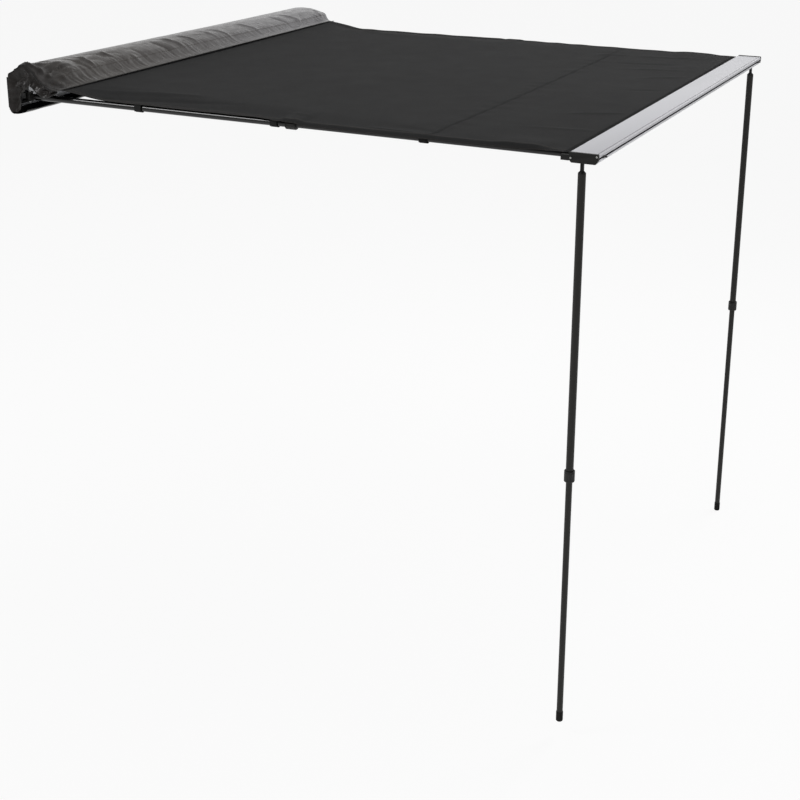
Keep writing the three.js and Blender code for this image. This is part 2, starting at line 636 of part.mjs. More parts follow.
/** A front rail end cap, drawn for the near side with X counted from the end of the rail. */
function railCap() {
  const half = railDepth / 2;
  const plate = prism(outline([
    [-half, -railHeight, capCorner], [half - capChamfer, -railHeight], [half, -railHeight + capChamfer],
    [half, 0, capCorner / 2], [-half, 0, capCorner / 2],
  ]), 'x', 0, capThickness);
  const bay = half - railSide - gap;
  const flangeTop = -railPlate - plateRib - gap;
  const flangeEnd = capThickness + capFlange;
  const flange = prism(rectangle(-bay, -railHeight + railSideWall, bay, flangeTop), 'x', capThickness / 2, flangeEnd);
  const hollow = prism(rectangle(-bay + capFlangeWall, -railHeight - overrun, bay - capFlangeWall,
    flangeTop - capFlangeWall), 'x', capThickness, flangeEnd + overrun);
  const rings = Object.values(capScrewPlaces).map(([y, z]) => bar('y', capScrewHead + gap + screwRingWidth,
    0, screwRingHeight + capThickness / 2).rotateZ(-Math.PI / 2).translate(-screwRingHeight, y, z));
  const sinks = Object.values(capScrewPlaces).flatMap(([y, z]) => [
    bar('y', capScrewHead + gap, 0, overrun + capScrewSink).rotateZ(-Math.PI / 2).translate(-overrun, y, z),
    bar('y', capScrewShank + gap, 0, capThickness + overrun).rotateZ(-Math.PI / 2).translate(0, y, z),
  ]);
  const hookX = armInset;
  const forkHalf = tongueThickness / 2 + forkPlay;
  const fork = block(0, hookX + forkInnerReach, half + gap, half + tipSetback + forkRearReach,
    -armDrop - forkHalf - forkPlate, -armDrop + forkHalf + forkPlate);
  const bridge = block(0, capThickness, half - capFlange, half + forkWeb,
    -armDrop, -armDrop + forkHalf + forkPlate);
  const pocket = block(hookX - tongueRadius - forkWeb, hookX + forkInnerReach + overrun, half + gap + forkWeb,
    half + tipSetback + forkRearReach + overrun, -armDrop - forkHalf, -armDrop + forkHalf);
  const pinSlot = [
    bar('z', hookPinRadius + gap, -railHeight, 0).translate(hookX, half + tipSetback, 0),
    block(hookX, hookX + forkInnerReach + overrun, half + tipSetback - hookPinRadius - gap,
      half + tipSetback + hookPinRadius + gap, -railHeight, 0),
  ];
  return cut(cut(fuse(plate, flange, ...rings, fork, bridge), hollow), ...sinks, pocket, ...pinSlot);
}

/** The front rail with its caps, screws, leg blocks, leg pins and guy loops. */
function addFrontRail() {
  const end = halfWidth - capThickness - gap;
  add('front_rail', prism(railSection(), 'x', -end, end), materials.anodised, [0, -projection, 0]);
  const nearCap = geometryOf(railCap());
  const screw = turned('y', [[0, 0], [capScrewHead - headBevel, 0], [capScrewHead, capScrewHeadHeight],
    [capScrewShank, capScrewHeadHeight], [capScrewShank, capScrewLength], [0, capScrewLength]], pinSides);
  for (const [name, side] of Object.entries(sides)) {
    add(`rail_cap_${name}`, handed(nearCap, side), materials.plastic, [side * halfWidth, -projection, 0]);
    for (const [which, [y, z]] of Object.entries(capScrewPlaces)) {
      const head = side * (halfWidth - capScrewSink + gap + capScrewHeadHeight);
      add(`rail_cap_screw_${which}_${name}`, screw.clone().rotateZ(side * Math.PI / 2), materials.steel,
        [head, y - projection, z]);
    }
    addLegBlock(name, side);
    addGuyLoop(name, side);
  }
}

/** The block that holds one leg's pivot in the rail's bay, and the pin. */
function addLegBlock(name, side) {
  const legY = -side * legOffset;
  const bay = railDepth / 2 - railSide - gap;
  const top = -railPlate - plateRib - gap;
  const plate = block(-blockLength / 2, blockLength / 2, -bay, bay, top - blockPlate, top);
  const cheekShape = outline([
    [-blockLength / 2, top], [-blockLength / 2, -cheekDepth, cheekCorner],
    [blockLength / 2, -cheekDepth, cheekCorner], [blockLength / 2, top]]);
  const innerFace = legNeckWidth / 2 + gap;
  const cheeks = [legY + innerFace, legY - innerFace - cheekThickness].map((y) => (
    prism(cheekShape, 'y', y, y + cheekThickness)));
  const stopX = side * (legNeckThickness / 2 + gap);
  const stop = block(stopX, stopX + side * stopThickness, legY - innerFace - cheekThickness / 2,
    legY + innerFace + cheekThickness / 2, -cheekDepth, -cheekDepth + stopRise);
  const bore = bar('y', legPinRadius + gap, -bay, bay).translate(0, 0, -legPivotDrop);
  const place = [side * legX, -projection, 0];
  add(`leg_block_${name}`, cut(fuse(plate, ...cheeks, stop), bore), materials.plastic, place);

  const seat = innerFace + cheekThickness + gap;
  const pin = turned('y', [[0, -seat - legPinHeadHeight], [legPinHead, -seat - legPinHeadHeight], [legPinHead, -seat],
    [legPinRadius, -seat], [legPinRadius, seat], [legPinHead, seat], [legPinHead, seat + legPinHeadHeight],
    [0, seat + legPinHeadHeight]], pinSides);
  add(`leg_pivot_pin_${name}`, pin, materials.steel, [side * legX, legY - projection, -legPivotDrop]);
}

/** A loop for a guy rope, its foot held in the rail's front groove. */
function addGuyLoop(name, side) {
  const face = -railDepth / 2;
  const footHalf = grooveOpening / 2 - gap;
  const stem = block(-loopFootLength / 2, loopFootLength / 2, face - gap - loopFootPlate, face + grooveLip + gap * 2,
    -footHalf, footHalf);
  const foot = block(-loopFootLength / 2, loopFootLength / 2, face + grooveLip + gap,
    face + grooveDepth - gap, -grooveCavity / 2 + gap, grooveCavity / 2 - gap);
  const plate = block(-loopFootLength / 2, loopFootLength / 2, face - gap - loopFootPlate, face - gap,
    -grooveCavity / 2, grooveCavity / 2);
  const ring = new THREE.TorusGeometry(loopRadius, loopWire, loopSides, loopSteps);
  const behind = block(-loopRadius * 2, loopRadius * 2, 0, loopRadius * 2, -loopRadius, loopRadius);
  const ends = [-loopRadius, loopRadius].map((x) => bar('y', loopWire, -loopWire, loopWire, loopSides).translate(x, 0, 0));
  const bow = ends.map(solid).reduce((whole, end) => whole.add(end), cut(solid(ring), behind));
  const loop = fuse(stem, foot, plate).add(bow.translate(0, face - gap - loopFootPlate - loopWire / 2, 0));
  add(`guy_loop_${name}`, loop, materials.steel, [side * (halfWidth - loopInset), -projection, -grooveDrop]);
}

/** One telescopic leg: neck, upper tube, ferrule, lock collar, lower tube, bush and foot. */
function addLeg(name, side) {
  const place = (z = 0) => [side * legX, -side * legOffset - projection, z];
  const tubeInside = legOuterRadius - legTubeWall;
  const half = legNeckThickness / 2;
  const neck = fuse(
    bar('y', half, -legNeckWidth / 2, legNeckWidth / 2, tubeSides).translate(0, 0, -legPivotDrop),
    block(-half, half, -legNeckWidth / 2, legNeckWidth / 2, -legShoulderDrop + legShoulder / 2, -legPivotDrop),
    turned('z', [[0, -legShoulderDrop - legNeckPlug], [tubeInside - legTubeWall, -legShoulderDrop - legNeckPlug],
      [tubeInside - gap, -legShoulderDrop - legNeckPlug + legShoulder], [tubeInside - gap, -legShoulderDrop],
      [legOuterRadius, -legShoulderDrop], [legOuterRadius, -legShoulderDrop + legShoulder],
      [half, -legShoulderDrop + legNeckFlare / 2], [legNeckWidth / 2, -legShoulderDrop + legNeckFlare],
      [0, -legShoulderDrop + legNeckFlare]]));
  const bore = bar('y', legPinRadius + gap, -legNeckWidth, legNeckWidth).translate(0, 0, -legPivotDrop);
  add(`leg_neck_${name}`, cut(neck, bore), materials.plastic, place());

  const tubeEnd = -legCollarDrop - lockSeat;
  add(`leg_upper_tube_${name}`, pipe('z', legOuterRadius, tubeInside, tubeEnd + gap, -legShoulderDrop - gap),
    materials.blackTube, place());
  const upright = (body) => geometryOf(body).rotateX(Math.PI / 2);
  add(`leg_ferrule_${name}`, upright(ferrule(legOuterRadius, legInnerRadius)), materials.plastic, place(tubeEnd));
  add(`leg_lock_collar_${name}`, upright(lockCollar(legLockRadius, legOuterRadius, legInnerRadius)),
    materials.plastic, place(-legCollarDrop));

  const ground = -mountHeight - (side === sides.far ? farLegExtension : 0);
  const innerTop = ground + mountHeight - legCollarDrop + legOverlap;
  const soleTop = ground + footSole + gap;
  add(`leg_lower_tube_${name}`, pipe('z', legInnerRadius, legInnerRadius - legTubeWall, soleTop, innerTop),
    materials.blackTube, place());
  add(`leg_bush_${name}`, slideBush('z', tubeInside, legInnerRadius, legTubeWall), materials.plastic,
    place(innerTop));
  add(`leg_foot_${name}`, foot(), materials.rubber, place(ground));
}

/** A rubber foot that the lower tube stands in, with two grip grooves. */
function foot() {
  const profile = footEdgeShares.map(([out, up]) => [footRadius * out, footSole * up]);
  for (const groove of [1, 2]) {
    const z = footSole + groove * footGroovePitch;
    profile.push([footRadius, z - footGroove], [footRadius - footGroove, z], [footRadius, z + footGroove]);
  }
  profile.push([footRadius, footHeight - footGroove], [footRadius - footGroove, footHeight],
    [legInnerRadius + gap, footHeight], [legInnerRadius + gap, footSole], [0, footSole]);
  return turned('z', profile);
}

const canopyFront = railRear - trackInset;
const canopyBack = -boardDepth + trackInset;
const canopyHalf = halfWidth - canopyInset;

/** The height of the canopy's middle surface; it is taut along the rails and sags a little between them. */
function canopyLevel(x, y) {
  const out = (y - canopyFront) / (canopyBack - canopyFront);
  const rise = y < -bagReach
    ? ((y - canopyFront) / (-bagReach - canopyFront)) * (canopyBackRise + railTrackDrop) - railTrackDrop
    : THREE.MathUtils.mapLinear(y, -bagReach, canopyBack, canopyBackRise, boardTrackHeight);
  const across = 1 - (x / canopyHalf) ** 2;
  const hem = THREE.MathUtils.smoothstep(Math.abs(x), canopyHalf - hemWidth, canopyHalf);
  const free = Math.sin(Math.PI * out);
  return rise - canopySag * across * free - hemDroop * hem * free;
}

/** Spreads a share from 0 to 1 so that more of the canopy's steps fall on its two hems. */
const hemEased = (s) => (1 - Math.cos(Math.PI * s)) / 2;

/** The canopy cloth with the beads that hold it in the two keder tracks. */
function addCanopy() {
  const cloth = sheet((s, t) => {
    const x = canopyHalf * (2 * hemEased(s) - 1);
    const y = THREE.MathUtils.lerp(canopyFront, canopyBack, t);
    return new THREE.Vector3(x, y, canopyLevel(x, y));
  }, clothStepsAcross, clothStepsOut, canopyThickness);
  const bead = (y, z) => turned('y', [[0, -canopyHalf], [beadRadius, -canopyHalf], [beadRadius, canopyHalf],
    [0, canopyHalf]], trackSteps).rotateZ(Math.PI / 2).translate(0, y, z);
  add('canopy', fuse(cloth, bead(canopyFront, -railTrackDrop), bead(canopyBack, boardTrackHeight)), materials.canvas);
}

/** The straps round the arms, each a flat loop that hangs from the canopy's hem. */
function addStraps(name, side) {
  for (let i = 1; i <= strapCount; i += 1) {
    const y = i * strapPitch - projection;
    const inside = armOuterRadius + strapLooseness;
    const outside = inside + strapThickness;
    const levels = [-outside, outside].flatMap((dx) => [-strapWidth, strapWidth].map((dy) => (
      canopyLevel(armX + dx, y + dy))));
    const top = Math.min(...levels) - canopyThickness / 2 - gap + armDrop;
    const loop = outline([[-outside, -outside, outside], [outside, -outside, outside], [outside, top],
      [-outside, top]]);
    loop.holes.push(outline([[-inside, -inside, inside], [inside, -inside, inside],
      [inside, top - strapThickness], [-inside, top - strapThickness]], THREE.Path));
    add(`canopy_strap_${name}_${i}`, prism(loop, 'y', y - strapWidth / 2, y + strapWidth / 2), materials.webbing,
      armPlace(side));
  }
}

/** The bag's top panel: a crown that is higher at the near end, where the empty bag is crumpled. */
function bagTop(x, share) {
  const front = canopyBackRise + canopyThickness + gap + bagThickness;
  const rear = boardHeight / 2 + bagRearRise;
  const crown = THREE.MathUtils.mapLinear(x, -halfWidth, halfWidth, bagNearCrown, bagFarCrown);
  const y = THREE.MathUtils.lerp(-bagReach, -bagTrackInset, share);
  return new THREE.Vector3(x, y, THREE.MathUtils.lerp(front, rear, share) + crown * Math.sin(Math.PI * share) ** bagCrownFullness);
}

/** The travel bag, a shell that is open in front, with its end panels and its beads. */
function addBag() {
  const end = halfWidth + bagEndPlay;
  const top = sheet((s, t) => bagTop(THREE.MathUtils.lerp(-end, end, s), t), bagStepsAlong, bagStepsOver, bagThickness);
  const floorLevel = -bagFloorDrop;
  const floorRear = new THREE.Vector2(-bagTrackInset, -boardHeight / 2 - bagThickness);
  const floor = prism(outline([
    [floorRear.x, floorRear.y], [-bagTrackInset - bagThickness, floorRear.y],
    [-bagTrackInset - bagThickness, floorLevel + bagThickness, bagThickness],
    [-bagFloorReach, floorLevel + bagThickness], [-bagFloorReach - bagLip, floorLevel + bagLip],
    [-bagFloorReach - bagLip - bagThickness, floorLevel + bagLip], [-bagFloorReach, floorLevel],
    [-bagTrackInset, floorLevel, bagThickness * 2],
  ].reverse()), 'x', -end - bagThickness / 2, end + bagThickness / 2);
  const inner = end - bagBeadInset;
  const bead = (z) => turned('y', [[0, -inner], [beadRadius, -inner], [beadRadius, inner], [0, inner]], trackSteps)
    .rotateZ(Math.PI / 2).translate(0, -bagTrackInset, z);
  const trackZ = boardHeight / 2 - trackInset;
  const rope = (from, to) => block(-inner, inner, -bagTrackInset - trackSlot / 2 + gap,
    -bagTrackInset + trackSlot / 2 - gap, from, to);
  const highRope = rope(trackZ, boardHeight / 2 + bagRearRise);
  const lowRope = rope(-boardHeight / 2 - bagThickness * 2, -trackZ);
  const panels = Object.entries(bagEndShares).map(([name, low]) => {
    const x = sides[name] * end;
    const crest = Array.from({ length: bagStepsOver + 1 }, (_, i) => bagTop(x, i / bagStepsOver))
      .map((point) => [point.y, point.z]);
    const hang = low.map(([reachShare, dropShare]) => [-bagReach * reachShare, -bagFloorDrop * dropShare]);
    return prism(outline([...hang, ...crest.reverse()]), 'x', x - bagThickness / 2, x + bagThickness / 2);
  });
  add('travel_bag', fuse(top, floor, highRope, lowRope, bead(trackZ), bead(-trackZ), ...panels), materials.vinyl);
}

addBackboard();
addFrontRail();
addCanopy();
addBag();
for (const [name, side] of Object.entries(sides)) {
  addArmBracket(name, side);
  addArm(name, side);
  addLeg(name, side);
  addStraps(name, side);
}

export default awning;
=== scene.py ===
"""Dresses a pull-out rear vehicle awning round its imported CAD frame.

Metres. +X runs from the near side to the far side, +Y points to the vehicle and +Z is up.
"""

import json
import logging
import math
from dataclasses import dataclass, field
from enum import Enum
from functools import partial
from typing import Callable, Sequence

import bmesh
import bpy
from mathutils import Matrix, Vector, noise

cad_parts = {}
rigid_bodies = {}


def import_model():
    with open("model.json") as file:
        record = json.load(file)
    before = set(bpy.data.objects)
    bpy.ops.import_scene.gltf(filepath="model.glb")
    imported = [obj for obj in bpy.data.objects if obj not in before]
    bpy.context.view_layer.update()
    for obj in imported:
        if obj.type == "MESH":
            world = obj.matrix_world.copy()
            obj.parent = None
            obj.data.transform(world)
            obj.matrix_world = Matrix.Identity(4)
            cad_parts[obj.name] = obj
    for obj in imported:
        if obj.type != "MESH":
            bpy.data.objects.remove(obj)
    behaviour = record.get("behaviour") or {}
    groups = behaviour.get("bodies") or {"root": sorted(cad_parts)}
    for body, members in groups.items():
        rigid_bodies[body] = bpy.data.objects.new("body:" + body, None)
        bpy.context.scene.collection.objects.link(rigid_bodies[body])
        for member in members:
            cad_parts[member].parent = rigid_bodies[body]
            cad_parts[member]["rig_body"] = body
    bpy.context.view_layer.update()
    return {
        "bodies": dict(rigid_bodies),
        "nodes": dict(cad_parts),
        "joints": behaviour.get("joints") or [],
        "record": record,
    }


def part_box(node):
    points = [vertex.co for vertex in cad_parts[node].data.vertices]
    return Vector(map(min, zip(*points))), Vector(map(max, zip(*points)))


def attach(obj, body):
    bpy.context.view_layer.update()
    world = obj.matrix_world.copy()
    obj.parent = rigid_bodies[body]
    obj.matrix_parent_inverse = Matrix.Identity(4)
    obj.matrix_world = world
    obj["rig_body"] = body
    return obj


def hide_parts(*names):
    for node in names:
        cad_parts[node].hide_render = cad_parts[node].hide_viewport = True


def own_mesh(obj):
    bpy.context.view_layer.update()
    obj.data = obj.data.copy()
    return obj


log = logging.getLogger("awning")

Pair = tuple[float, float]
Triple = tuple[float, float, float]
Colour = Triple
Warp = Callable[[int, float], float]


class Side(Enum):
    """The two ends of the awning; the value is the sign of X."""

    NEAR = -1
    FAR = 1

    @property
    def word(self) -> str:
        """The side's name in the CAD nodes."""
        return self.name.lower()


class Axis(Enum):
    """The axis that a turned piece is turned round; the value is its index."""

    X = 0
    Y = 1
    Z = 2


# Small sums


def mix(low: float, high: float, share: float) -> float:
    """Returns the number that lies a share of the way from low to high."""
    return low + (high - low) * share


def ease(value: float, low: float, high: float) -> float:
    """Returns 0 at low and 1 at high, with soft ends."""
    share = min(1.0, max(0.0, (value - low) / (high - low)))
    return share * share * (3 - 2 * share)


def spaced(low: float, high: float, steps: int, *extra: float) -> list[float]:
    """Returns evenly spaced numbers from low to high, with a few extra ones put in their places."""
    even = {round(mix(low, high, i / steps), 5) for i in range(steps + 1)}
    return sorted(even | {round(e, 5) for e in extra})


def ridge(height: float, narrowness: float) -> float:
    """Returns 1 where a noise is 0 and less on both sides of it, down to 0."""
    return max(0.0, 1 - narrowness * abs(height)) ** 1.6


def creases(spot: Vector) -> float:
    """Returns a height from 0 to 1 with sharp ridges and smooth facets between them, as crushed film has."""
    finer = spot * 2.3 + Vector((4.0, 1.0, 7.0))
    return 0.7 * ridge(noise.noise(spot), 2.8) + 0.3 * ridge(noise.noise(finer), 2.6)


def along(points: Sequence[Vector], share: float) -> Vector:
    """Finds a point on a polyline.

    Args:
        points: The corners of the polyline.
        share: How far along its length, from 0 to 1.

    Returns:
        The point at that share of the length.
    """
    lengths = [(b - a).length for a, b in zip(points, points[1:])]
    left = share * sum(lengths)
    for a, b, length in zip(points, points[1:], lengths):
        if left <= length:
            return a.lerp(b, left / length if length else 0.0)
        left -= length
    return points[-1].copy()


@dataclass(frozen=True)
class Fold:
    """A fold in cloth; its places are (x, y), or (x, share) with a depth that turns shares into metres."""

    start: Pair
    end: Pair
    height: float
    width: float

    def seen_from(self, x: float, y: float, depth: float = 1.0) -> Pair:
        """Finds where a place lies beside the fold.

        Args:
            x: The place's first number.
            y: The place's second number.
            depth: How many metres 1 of the second number stands for.

        Returns:
            The share of the fold's length, from its start, and the distance from its line.
        """
        run = Vector((self.end[0] - self.start[0], (self.end[1] - self.start[1]) * depth))
        way = Vector((x - self.start[0], (y - self.start[1]) * depth))
        share = way.dot(run) / run.length_squared
        return share, (way - run * share).length

    def lift(self, share: float, left: float, fade: float) -> float:
        """Finds how high the fold stands.

        Args:
            share: The share of its length, from where it starts.
            left: The part of its height that is left so far from its line.
            fade: The share of its length over which it dies away past both its ends.

        Returns:
            The height, 0 beyond the fade.
        """
        if not -fade < share < 1 + fade:
            return 0.0
        return self.height * left * ease(share, -fade, 0.3) * (1 - ease(share, 0.7, 1 + fade))


# Shader trees


class Number:
    """A number that a shader socket carries; the usual operators add Math nodes."""

    def __init__(self, graph: "Graph", socket: bpy.types.NodeSocket) -> None:
        """Keeps the socket and the graph that its maths is added to."""
        self.graph = graph
        self.socket = socket

    def _with(self, operation: str, *values: "Number | float") -> "Number":
        """Returns the result of one Math node."""
        made = self.graph.node("ShaderNodeMath", {"operation": operation}, dict(enumerate(values)))
        return Number(self.graph, made.outputs[0])

    def __add__(self, other: "Number | float") -> "Number":
        """Adds a number."""
        return self._with("ADD", self, other)

    __radd__ = __add__

    def __sub__(self, other: "Number | float") -> "Number":
        """Takes a number away."""
        return self._with("SUBTRACT", self, other)

    def __rsub__(self, other: "Number | float") -> "Number":
        """Is taken away from a number."""
        return self._with("SUBTRACT", other, self)

    def __mul__(self, other: "Number | float") -> "Number":
        """Multiplies by a number."""
        return self._with("MULTIPLY", self, other)

    __rmul__ = __mul__

    def __truediv__(self, other: "Number | float") -> "Number":
        """Divides by a number."""
        return self._with("DIVIDE", self, other)

    def __abs__(self) -> "Number":
        """Drops the sign."""
        return self._with("ABSOLUTE", self)

    def sine(self) -> "Number":
        """Returns the sine."""
        return self._with("SINE", self)

    def fraction(self) -> "Number":
        """Returns the part after the point."""
        return self._with("FRACT", self)

    def above(self, edge: float) -> "Number":
        """Returns 1 where the number is above the edge, else 0."""
        return self._with("GREATER_THAN", self, edge)

    def eased(self, low: float, high: float) -> "Number":
        """Adds a step with soft ends.

        Args:
            low: Where the step starts.
            high: Where it ends.

        Returns:
            A number from 0 at low to 1 at high.
        """
        made = self.graph.node("ShaderNodeMapRange", {"interpolation_type": "SMOOTHSTEP"},
                               {"Value": self, "From Min": low, "From Max": high})
        return Number(self.graph, made.outputs[0])


class Graph:
    """One node tree: a material's, the world's or the row maker's."""

    def __init__(self, tree: bpy.types.NodeTree) -> None:
        """Starts from an empty tree."""
        self.tree = tree
        tree.nodes.clear()

    def node(self, kind: str, settings: dict | None = None, values: dict | None = None) -> bpy.types.Node:
        """Adds a node.

        Args:
            kind: The node's type.
            settings: Its properties, which are set first.
            values: What its input sockets hold or are linked to, by name or index.

        Returns:
            The node.
        """
        made = self.tree.nodes.new(kind)
        for name, value in (settings or {}).items():
            setattr(made, name, value)
        for key, value in (values or {}).items():
            self.put(value, made.inputs[key])
        return made

    def put(self, value: object, socket: bpy.types.NodeSocket) -> None:
        """Links an input socket or sets its value.

        Args:
            value: A socket or a Number to link, or else the input's own value.
            socket: The input.
        """
        source = value.socket if isinstance(value, Number) else value
        if isinstance(source, bpy.types.NodeSocket):
            self.tree.links.new(source, socket)
        else:
            socket.default_value = source

    def place(self) -> bpy.types.NodeSocket:
        """Returns the object's own coordinates, in metres."""
        return self.node("ShaderNodeTexCoord").outputs["Object"]

    def cloth(self) -> bpy.types.NodeSocket:
        """Returns the place on the flat cloth, in metres."""
        return self.node("ShaderNodeUVMap", {"uv_map": "cloth"}).outputs[0]

    def parts(self, vector: bpy.types.NodeSocket) -> tuple[Number, ...]:
        """Returns a vector's three numbers."""
        made = self.node("ShaderNodeSeparateXYZ", {}, {0: vector})
        return tuple(Number(self, socket) for socket in made.outputs)

    def noise(self, vector: bpy.types.NodeSocket, scale: float, detail: float = 2.0,
              stretch: Triple = (1.0, 1.0, 1.0)) -> Number:
        """Returns noise from 0 to 1.

        Args:
            vector: Where it is read.
            scale: How many cells fit in a metre.
            detail: Its octaves.
            stretch: Scale factors along the three axes.

        Returns:
            The noise.
        """
        mapped = self.node("ShaderNodeMapping", {}, {"Vector": vector, "Scale": stretch}).outputs[0]
        made = self.node("ShaderNodeTexNoise", {}, {"Vector": mapped, "Scale": scale, "Detail": detail})
        return Number(self, made.outputs[0])

    def blend(self, low: object, high: object, share: Number) -> bpy.types.NodeSocket:
        """Blends two colours.

        Args:
            low: The colour at a share of 0, as numbers or a socket.
            high: The colour at a share of 1.
            share: The share of the way from low to high.

        Returns:
            The blended colour.
        """
        wide = [(*c, 1.0) if isinstance(c, tuple) else c for c in (low, high)]
        made = self.node("ShaderNodeMix", {"data_type": "RGBA"}, {0: share, 6: wide[0], 7: wide[1]})
        return made.outputs[2]

    def bump(self, height: Number, strength: float, distance: float) -> bpy.types.NodeSocket:
        """Returns a normal that follows a height."""
        return self.node("ShaderNodeBump", {}, {"Height": height, "Strength": strength,
                                                "Distance": distance}).outputs[0]


def scaled(colour: Colour, factor: float) -> Colour:
    """Returns a colour made lighter or darker."""
    return tuple(min(1.0, c * factor) for c in colour)


@dataclass(frozen=True)
class Finish:
    """What every finish has; each kind below adds its own grain, weave or wear."""

    name: str
    slot: str
    colour: Colour
    roughness: float
    metallic: float = 0.0
    specular: float = 0.5

    def material(self) -> bpy.types.Material:
        """Builds the finish's material.

        Returns:
            The material.
        """
        made = bpy.data.materials.new(self.name)
        made.use_nodes = True
        graph = Graph(made.node_tree)
        shader = graph.node("ShaderNodeBsdfPrincipled", {}, {"Metallic": self.metallic,
                                                             "Specular IOR Level": self.specular})
        graph.node("ShaderNodeOutputMaterial", {}, {"Surface": shader.outputs[0]})
        colour, roughness, normal = self.surface(graph)
        graph.put(colour, shader.inputs["Base Color"])
        graph.put(roughness, shader.inputs["Roughness"])
        graph.put(normal, shader.inputs["Normal"])
        made.diffuse_color = (*self.colour, 1.0)
        return made

    def surface(self, graph: Graph) -> tuple[object, Number, object]:
        """Adds what varies over the surface; a plain finish has fine speckle and soft patches.

        Args:
            graph: The material's node tree.

        Returns:
            The colour, the roughness and the normal.
        """
        place = graph.place()
        grain, patches = graph.noise(place, 1400.0), graph.noise(place, 9.0, 3.0)
        colour = graph.blend(scaled(self.colour, 0.8), scaled(self.colour, 1.25), patches)
        return colour, self.roughness + (patches - 0.5) * 0.16, graph.bump(grain, 0.12, 0.0003)


class Grain(Enum):
    """How a metal's fine lines run; the value is how many cells of noise a metre holds along X, Y and Z."""

    ALONG_X = (1.4, 620.0, 620.0)
    ALONG_Y = (420.0, 1.6, 420.0)
    ALONG_Z = (420.0, 420.0, 1.6)
    FINE = (260.0, 260.0, 260.0)
    COARSE = (90.0, 90.0, 90.0)


@dataclass(frozen=True)
class DrawnMetal(Finish):
    """Metal with a fine grain, mostly lines along one axis: extrusions, tubes, brackets and pins."""

    lines: Grain = Grain.ALONG_X
    wear: float = 0.14

    def surface(self, graph: Graph) -> tuple[object, Number, object]:
        """Adds streaks along the lines and soft clouds.

        Args:
            graph: The material's node tree.

        Returns:
            The colour, the roughness and the normal.
        """
        place = graph.place()
        streaks = graph.noise(place, 1.0, 3.0, self.lines.value)
        clouds = graph.noise(place, 3.1, 3.0)
        colour = graph.blend(scaled(self.colour, 1 - self.wear), scaled(self.colour, 1 + self.wear / 2),
                             streaks * 0.6 + clouds * 0.4)
        roughness = self.roughness + (streaks - 0.5) * 0.14 + (clouds - 0.5) * 0.1
        return colour, roughness, graph.bump(streaks, 0.05, 0.0002)


@dataclass(frozen=True)
class Canvas(Finish):
    """Coated canopy cloth: a plain weave with a ripstop grid, uneven dye and a near-black band of painted
    shade along the rail.
    """

    thread: float = 0.0011
    grid: float = 0.0075
    grid_line: float = 0.44
    # Painted shade: from the rail's edge to here the cloth is painted near-black, for the shade in the gap
    # between the cloth and the rail.
    tape: float = -2.1012
    tape_colour: Colour = (0.004, 0.004, 0.004)

    def surface(self, graph: Graph) -> tuple[object, Number, object]:
        """Adds the weave, the grid, the uneven dye and the painted shade along the rail, which follow the
        cloth.

        Args:
            graph: The material's node tree.

        Returns:
            The colour, the roughness and the normal.
        """
        cloth = graph.cloth()
        across, out, _ = graph.parts(cloth)
        turn = math.tau / self.thread
        weave = (across * turn).sine() * (out * turn).sine() * 0.5 + 0.5
        lines = [abs((way / self.grid).fraction() - 0.5).above(self.grid_line) for way in (across, out)]
        dye, rub = graph.noise(cloth, 1.3, 3.0), graph.noise(cloth, 11.0, 4.0)
        share = dye * 0.6 + rub * 0.3 + weave * 0.1
        dyed = graph.blend(scaled(self.colour, 0.8), scaled(self.colour, 1.22), share)
        # Painted shade: near-black cloth along the rail.
        colour = graph.blend(self.tape_colour, dyed, across.above(self.tape))
        height = weave * 0.5 + (lines[0] + lines[1]) * 0.4 + rub * 0.6
        return colour, self.roughness - rub * 0.08, graph.bump(height, 0.25, 0.0006)


@dataclass(frozen=True)
class BagVinyl(Finish):
    """Crumpled glossy coated cloth, with painted shade that makes it browner and darker toward the near end
    and darkest at the near corner.
    """

    # Painted shade: the colour at the near end and the darker one at the near corner, with the spans over
    # which they fade out.
    near: Colour = (0.034, 0.029, 0.025)
    corner: Colour = (0.011, 0.0088, 0.0078)
    paler: Pair = (-0.80, 1.20)
    cornered: Pair = (-1.01, -0.76)

    def surface(self, graph: Graph) -> tuple[object, Number, object]:
        """Adds the creases, the painted shade toward the near end and at the near corner, and the paler tone
        on the creases of the crumpled coating.

        Args:
            graph: The material's node tree.

        Returns:
            The colour, the roughness and the normal.
        """
        place = graph.place()
        reach, _, _ = graph.parts(place)
        folds, crush = graph.noise(place, 15.0, 1.0, (0.8, 1.2, 1.2)), graph.noise(place, 42.0, 1.0)
        grain = graph.noise(place, 1100.0)
        # Painted shade: darker and browner toward the near end, and darkest at the near corner.
        base = graph.blend(self.near, self.colour, reach.eased(*self.paler))
        shade_painted_base = graph.blend(self.corner, base, (reach + (folds - 0.5) * 0.35).eased(*self.cornered))
        creases = abs(folds - 0.5) + abs(crush - 0.5) * 0.3
        colour = graph.blend(shade_painted_base, scaled(self.colour, 1.2), (creases - 0.12).eased(0.0, 0.2) * 0.16)
        roughness = self.roughness + (crush - 0.5) * 0.3
        return colour, roughness, graph.bump(creases + grain * 0.002, 0.7, 0.008)


@dataclass(frozen=True)
class Webbing(Finish):
    """Woven tape with ribs across it."""

    rib: float = 0.0017
    cord: float = 0.0022

    def surface(self, graph: Graph) -> tuple[object, Number, object]:
        """Adds the ribs and the cords.

        Args:
            graph: The material's node tree.

        Returns:
            The colour, the roughness and the normal.
        """
        cloth = graph.cloth()
        length, width, _ = graph.parts(cloth)
        ribs = (length * (math.tau / self.rib)).sine() * 0.5 + 0.5
        cords = (width * (math.tau / self.cord)).sine() * 0.5 + 0.5
        colour = graph.blend(scaled(self.colour, 0.7), scaled(self.colour, 1.3), ribs * 0.6 + cords * 0.4)
        return colour, self.roughness - ribs * 0.05, graph.bump(ribs * 0.6 + cords * 0.5, 0.5, 0.0006)


